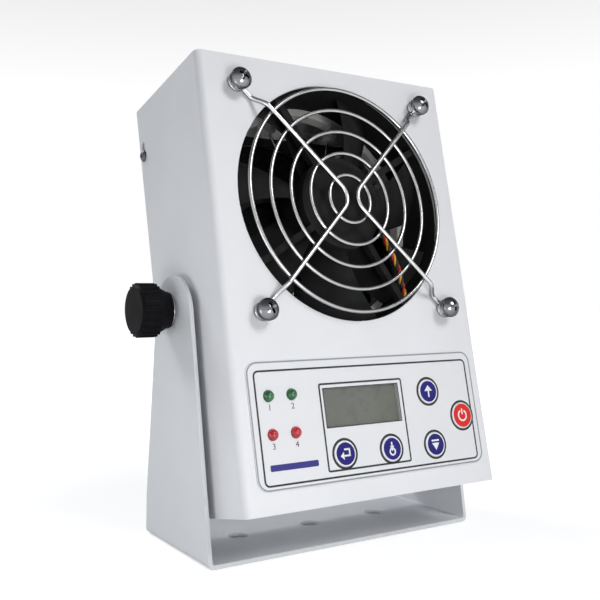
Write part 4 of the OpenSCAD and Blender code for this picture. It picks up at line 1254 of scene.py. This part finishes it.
@dataclass
class Fan:
    """The fan: its frame, its impeller with twisted blades, and its twisted leads."""

    depth: float = 25 * MM
    sheet: float = 1.2 * MM
    bore_r: float = 57.6 * MM
    hub_r: float = 22 * MM
    hub_back: float = 2 * MM
    hub_front: float = 20.3 * MM
    hub_wall: float = 2 * MM
    tip_gap: float = 1.1 * MM
    blades: int = 7
    blade_mid: float = 11.6 * MM
    lead_r: float = 0.62 * MM
    twist_r: float = 0.72 * MM
    twist_pitch: float = 9 * MM
    edge: float = 0.3 * MM
    hub_soft: float = 0.8 * MM
    hub_lip: float = 0.3 * MM
    boss: Flat = (3.6 * MM, 2 * MM)
    hub_sides: int = 96
    root_in: float = 1 * MM
    chord: Flat = (21, 13)  # in millimetres: at the root, and what it gains to the tip
    blade_pitch: Flat = (47, -21)  # in degrees, likewise
    lean: float = 14  # in degrees, at the tip
    half_thickness: Flat = (0.75, -0.25)  # in millimetres, likewise
    edge_share: float = 0.35  # thickness at the edges as a share of that in the middle
    camber: float = 0.32
    blade_steps: int = 14
    lead_sides: int = 10
    lead_steps: int = 24
    lead_side: Point = (0.31, 0.22, 0.92)  # no stretch of the route runs along it
    lead_route: tuple[Point, ...] = (
        (19.5, -14, 25.95), (26, -20, 22.6), (30.5, -30, 22.4), (33, -42, 21.5),
        (36, -48.5, 18.5), (40, -62, 12), (40, -78, 11.4),
    )

    def build(self, places: Places) -> None:
        """Makes the impeller and the leads, and dresses the rest."""
        dress(places, {
            "fan_frame": FAN_PLASTIC, "fan_stator": IRON, "fan_bearings": ZINC, "fan_shaft": ZINC,
            "magnet_ring": MAGNET,
        }, {"fan_frame": self.edge})
        self.base = places.facing(0, places.fan.dot(places.up), places.front - self.sheet - self.depth)
        impeller = Form()
        self.hub(impeller)
        for index in range(self.blades):
            self.blade(impeller, 360 * index / self.blades)
        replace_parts(impeller.piece("impeller_wheel", self.base, FAN_PLASTIC, "rotor"), "impeller")
        self.leads()

    def hub(self, form: Form) -> None:
        """Makes the cup that carries the blades."""
        r, soft, lip = self.hub_r, self.hub_soft, self.hub_lip
        back, front, inner, floor = self.hub_back, self.hub_front, r - self.hub_wall, self.hub_back + self.hub_wall
        boss_r, boss_top = self.boss[0], floor + self.boss[1]
        form.revolve([(0, back), *arc((r - soft, back + soft), soft, -90, 0, 5), (r, front - lip), (r - lip, front),
                      (inner, front), (inner, floor), (boss_r, floor), (boss_r, boss_top), (0, boss_top)],
                     self.hub_sides)

    def reach(self) -> Flat:
        """Returns the radii of a blade's root, which is sunk into the hub, and of its tip."""
        return self.hub_r - self.root_in, self.bore_r - self.tip_gap

    def section(self, radius: float, steps: int = 12) -> list[Vector]:
        """Returns a blade's section at a radius, over its pressure face and back along the other."""
        root, tip = self.reach()
        s = (radius - root) / (tip - root)
        chord = (self.chord[0] + self.chord[1] * s) * MM
        pitch, lean = math.radians(self.blade_pitch[0] + self.blade_pitch[1] * s), math.radians(self.lean * s)
        thick, share = (self.half_thickness[0] + self.half_thickness[1] * s) * MM, self.edge_share
        points = []
        for face in (1, -1):
            for i in range(steps + 1):
                u = i / steps if face > 0 else 1 - i / steps
                along = (u - 0.5) * chord
                half = thick * (share + (1 - share) * math.sin(math.pi * u))
                off = self.camber * chord * u * (1 - u) + face * half
                angle = lean + (along * math.cos(pitch) - off * math.sin(pitch)) / radius
                points.append(Vector((radius * math.cos(angle), radius * math.sin(angle),
                                      self.blade_mid + along * math.sin(pitch) + off * math.cos(pitch))))
        return points

    def blade(self, form: Form, angle: float) -> None:
        """Adds one blade, turned by an angle in degrees."""
        root, tip = self.reach()
        turn = Matrix.Rotation(math.radians(angle), 3, "Z")
        radii = [root + (tip - root) * i / self.blade_steps for i in range(self.blade_steps + 1)]
        form.loft([[turn @ point for point in self.section(radius)] for radius in radii])

    def leads(self) -> None:
        """Twists three leads about the route from the hub to the frame's edge."""
        route = smooth_route([tuple(c * MM for c in point) for point in self.lead_route], self.lead_steps)
        finishes = (YELLOW_JACKET, RED_JACKET, BLACK_JACKET)
        names = ("fan_lead_yellow", "fan_lead_red", "fan_lead_black")
        for index, (name, finish) in enumerate(zip(names, finishes)):
            travelled, strand = 0.0, []
            for i, point in enumerate(route):
                travelled += (point - route[i - 1]).length if i else 0.0
                along = (route[min(i + 1, len(route) - 1)] - route[max(i - 1, 0)]).normalized()
                across = along.cross(Vector(self.lead_side)).normalized()
                turn = 2 * math.pi * (travelled / self.twist_pitch + index / 3)
                strand.append(point + self.twist_r * (math.cos(turn) * across + math.sin(turn) * along.cross(across)))
            form = Form()
            form.sweep(strand, self.lead_r, self.lead_sides)
            piece = form.piece(name, self.base, finish, "housing")
            if index == 0:
                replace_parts(piece, "fan_lead")


@dataclass
class Insides:
    """What the housing holds besides the fan and the panel's board."""

    ring_edge: float = 0.2 * MM
    module_edge: float = 0.3 * MM

    def build(self, places: Places) -> None:
        """Dresses the ionizer and the supply."""
        dress(places, {
            "emitter_ring": CERAMIC_WHITE, "emitter_needles": WIRE_PLATE, "hv_module": POTTING,
            "hv_cable": CABLE_JACKET, "supply_board": BOARD, "supply_standoffs": CERAMIC_WHITE,
            "transformer": IRON, "capacitors": POTTING, "mains_leads": BLACK_JACKET,
        }, {"emitter_ring": self.ring_edge, "hv_module": self.module_edge})


@dataclass
class Rear:
    """The mains inlet, the earth terminal and the filter on the back."""

    pitch: float = 105 * MM
    filter_screw: CrossScrew = CrossScrew(3.8 * MM, 2.2 * MM, 1.95 * MM, 11 * MM)
    filter_frame_t: float = 3.5 * MM
    inlet: Flat = (-38 * MM, -62 * MM)
    inlet_screw: CrossScrew = CrossScrew(2.8 * MM, 1.8 * MM, 1.5 * MM, 9 * MM)
    inlet_half: float = 20 * MM
    inlet_flange_t: float = 3 * MM
    inlet_edge: float = 0.25 * MM
    small_edge: float = 0.15 * MM
    cover_edge: float = 0.3 * MM
    frame_edge: float = 0.2 * MM

    def build(self, places: Places) -> None:
        """Dresses the rear pieces and makes their screws."""
        dress(places, {
            "power_inlet": INLET_PLASTIC, "inlet_pins": BRASS, "fuse_drawer": INLET_PLASTIC, "mains_fuse": BRASS,
            "earth_terminal": BRASS, "filter_frame": REAR_PLASTIC, "filter_foam": FOAM,
            "filter_cover": REAR_PLASTIC, "filter_nuts": ZINC,
        }, {"power_inlet": self.inlet_edge, "fuse_drawer": self.small_edge, "earth_terminal": self.small_edge,
            "filter_cover": self.cover_edge, "filter_frame": self.frame_edge})
        fan_up = places.fan.dot(places.up)
        spots = [places.at_back(x, fan_up + y, places.rear + self.filter_frame_t) for x, y in square(self.pitch)]
        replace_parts(screw_set("filter_cross_screws", self.filter_screw, spots, ZINC, "housing"), "filter_screws")
        x, up = self.inlet[0], places.pivot.dot(places.up) + self.inlet[1]
        spots = [places.at_back(x + side * self.inlet_half, up, places.rear + self.inlet_flange_t)
                 for side in (-1, 1)]
        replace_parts(screw_set("inlet_cross_screws", self.inlet_screw, spots, BLACKENED, "housing"), "inlet_screws")


# ---------- studio ----------


@dataclass
class Softbox:
    """A square area lamp that looks at a point on the object."""

    name: str
    place: Point
    size: float
    power: float
    colour: Colour = (1.0, 1.0, 1.0)
    aim: Point = (0.0, 0.0, 0.11)

    def build(self) -> None:
        """Makes the lamp and turns it to its aim."""
        light = bpy.data.lights.new(self.name, "AREA")
        light.size = self.size
        light.energy = self.power
        light.color = self.colour
        lamp = placed(self.name, light)
        lamp.location = self.place
        lamp.rotation_euler = (Vector(self.aim) - Vector(self.place)).to_track_quat("-Z", "Y").to_euler()
        lamp.visible_camera = False


@dataclass
class Studio:
    """Plain pale floor, soft lamps and the camera."""

    camera_place: Point = (-0.23441, -0.34173, 0.11587)
    yaw: float = -30.575
    pitch: float = -2.322
    roll: float = -0.379
    focal: float = 48.82
    shift: Flat = (0.0765, 0.057)
    sensor: float = 36.0
    clip: Flat = (0.01, 50.0)
    floor_half: float = 6.0
    floor_t: float = 20 * MM
    floor_gap: float = 0.02 * MM
    floor_colour: Colour = (0.52, 0.52, 0.53)
    floor_cloud: float = 0.4
    floor_glow: Flat = (0.68, 1.0)
    glow_from: float = 0.14
    glow_to: float = 0.5
    under_edge: float = 6 * MM
    ambient: Colour = (0.92, 0.96, 1.0)
    ambient_strength: float = 0.22
    ceiling: Flat = (1.0, 0.24)
    ceiling_from: float = 0.25
    ceiling_to: float = 0.75
    lamps: list[Softbox] = field(default_factory=lambda: [
        Softbox("key_softbox", (0.5, -1.4, 1.35), 0.7, 15.5),
        Softbox("back_softbox", (-0.85, 1.4, 1.4), 0.8, 18.0, (0.95, 0.98, 1.0)),
        Softbox("front_softbox", (-0.08, -0.4, 0.05), 0.14, 0.6, aim=(-0.01, -0.05, 0.03)),
        Softbox("left_softbox", (-0.27, -0.04, 0.04), 0.14, 0.15, aim=(-0.09, -0.01, 0.01)),
    ])

    def build(self, height: float) -> None:
        """Makes the floor, the world, the lamps and the camera.

        Args:
            height: Height of the object's lowest point.
        """
        self.build_floor(height)
        self.build_world()
        for lamp in self.lamps:
            lamp.build()
        self.build_camera()
        bpy.context.scene.view_settings.view_transform = "Standard"

    def build_floor(self, height: float) -> None:
        """Makes a pale floor that runs out to white and keeps the object's shadow."""
        half = self.floor_half
        form = Form()
        form.prism([(-half, -half), (half, -half), (half, half), (-half, half)], -self.floor_t, 0.0)
        floor = placed("floor", form.shell("floor", Matrix.Translation((0, 0, height - self.floor_gap))))
        recipe = Recipe("pale_floor")
        cloud = recipe.uneven(self.floor_cloud, 3, 0, 1)
        recipe.fix(Base_Color=recipe.shades(cloud, self.floor_colour, 1, 1.03), Roughness=0.9, Specular_IOR_Level=0.1)
        distance = recipe.node("VectorMath", {0: recipe.place}, operation="LENGTH").outputs["Value"]
        fade = recipe.spread(distance, *self.floor_glow, self.glow_from, self.glow_to)
        open_air = recipe.maths("MULTIPLY", fade, self.outside(recipe))
        glow = recipe.node("Emission", {"Strength": recipe.maths("MULTIPLY", recipe.seen(), open_air)})
        both = recipe.node("AddShader", {0: recipe.shader.outputs[0], 1: glow.outputs[0]})
        recipe.feed(recipe.tree.nodes["Material Output"].inputs["Surface"], both.outputs[0])
        floor.data.materials.append(recipe.material)
        floor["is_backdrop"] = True

    def outside(self, recipe: Recipe) -> Socket:
        """Returns a value that is 0 on the floor under the stand's base and 1 round it."""
        low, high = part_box("stand")
        parts = recipe.node("SeparateXYZ", {0: recipe.place}).outputs
        away = []
        for axis in (0, 1):
            edge = max(abs(low[axis]), abs(high[axis]))
            away.append(recipe.spread(recipe.maths("ABSOLUTE", parts[axis]), 0, 1, edge - self.under_edge, edge))
        return recipe.maths("MAXIMUM", *away)

    def build_world(self) -> None:
        """Makes an even surround, white where it is seen, with a dimmer ceiling, and softer where it lights."""
        world = bpy.data.worlds.new("surround")
        bpy.context.scene.world = world
        world.use_nodes = True
        wiring = Wiring(world.node_tree)
        light, output = (wiring.tree.nodes[name] for name in ("Background", "World Output"))
        wiring.feed(light.inputs["Color"], self.ambient)
        wiring.feed(light.inputs["Strength"], self.ambient_strength)
        rise = wiring.node("SeparateXYZ", {0: wiring.coordinates["Generated"]}).outputs[2]
        level = wiring.spread(rise, *self.ceiling, self.ceiling_from, self.ceiling_to)
        white = wiring.node("Background", {"Color": (1.0, 1.0, 1.0), "Strength": level})
        mix = wiring.node("MixShader", {0: wiring.seen(), 1: light.outputs[0], 2: white.outputs[0]})
        wiring.feed(output.inputs["Surface"], mix.outputs[0])

    def build_camera(self) -> None:
        """Makes the camera."""
        yaw, pitch, roll = (math.radians(angle) for angle in (self.yaw, self.pitch, self.roll))
        ahead = Vector((-math.sin(yaw) * math.cos(pitch), math.cos(yaw) * math.cos(pitch), math.sin(pitch)))
        level = ahead.cross(Vector((0, 0, 1))).normalized()
        upright = level.cross(ahead)
        right = math.cos(roll) * level + math.sin(roll) * upright
        up = math.cos(roll) * upright - math.sin(roll) * level
        data = bpy.data.cameras.new("camera")
        data.sensor_width = self.sensor
        data.lens = self.focal
        data.shift_x, data.shift_y = self.shift
        data.clip_start, data.clip_end = self.clip
        camera = placed("camera", data)
        turn = Matrix((right, up, -ahead)).transposed().to_4x4()
        camera.matrix_world = Matrix.Translation(self.camera_place) @ turn
        bpy.context.scene.camera = camera


def clear_scene() -> None:
    """Takes away whatever a new scene starts with."""
    for thing in list(bpy.data.objects):
        bpy.data.objects.remove(thing)


def main() -> None:
    """Builds the blower's looks round its frame."""
    logging.basicConfig(level=logging.INFO, format="%(name)s: %(message)s")
    clear_scene()
    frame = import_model()
    cad_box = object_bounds()
    places = Places(frame)
    Studio().build(cad_box[0][2])
    for assembly in (Stand(), Housing(), ControlPanel(), Guard(), Fan(), Insides(), Rear()):
        assembly.build(places)
        LOG.info("finished the %s", type(assembly).__name__)


if __name__ == "__main__":
    main()
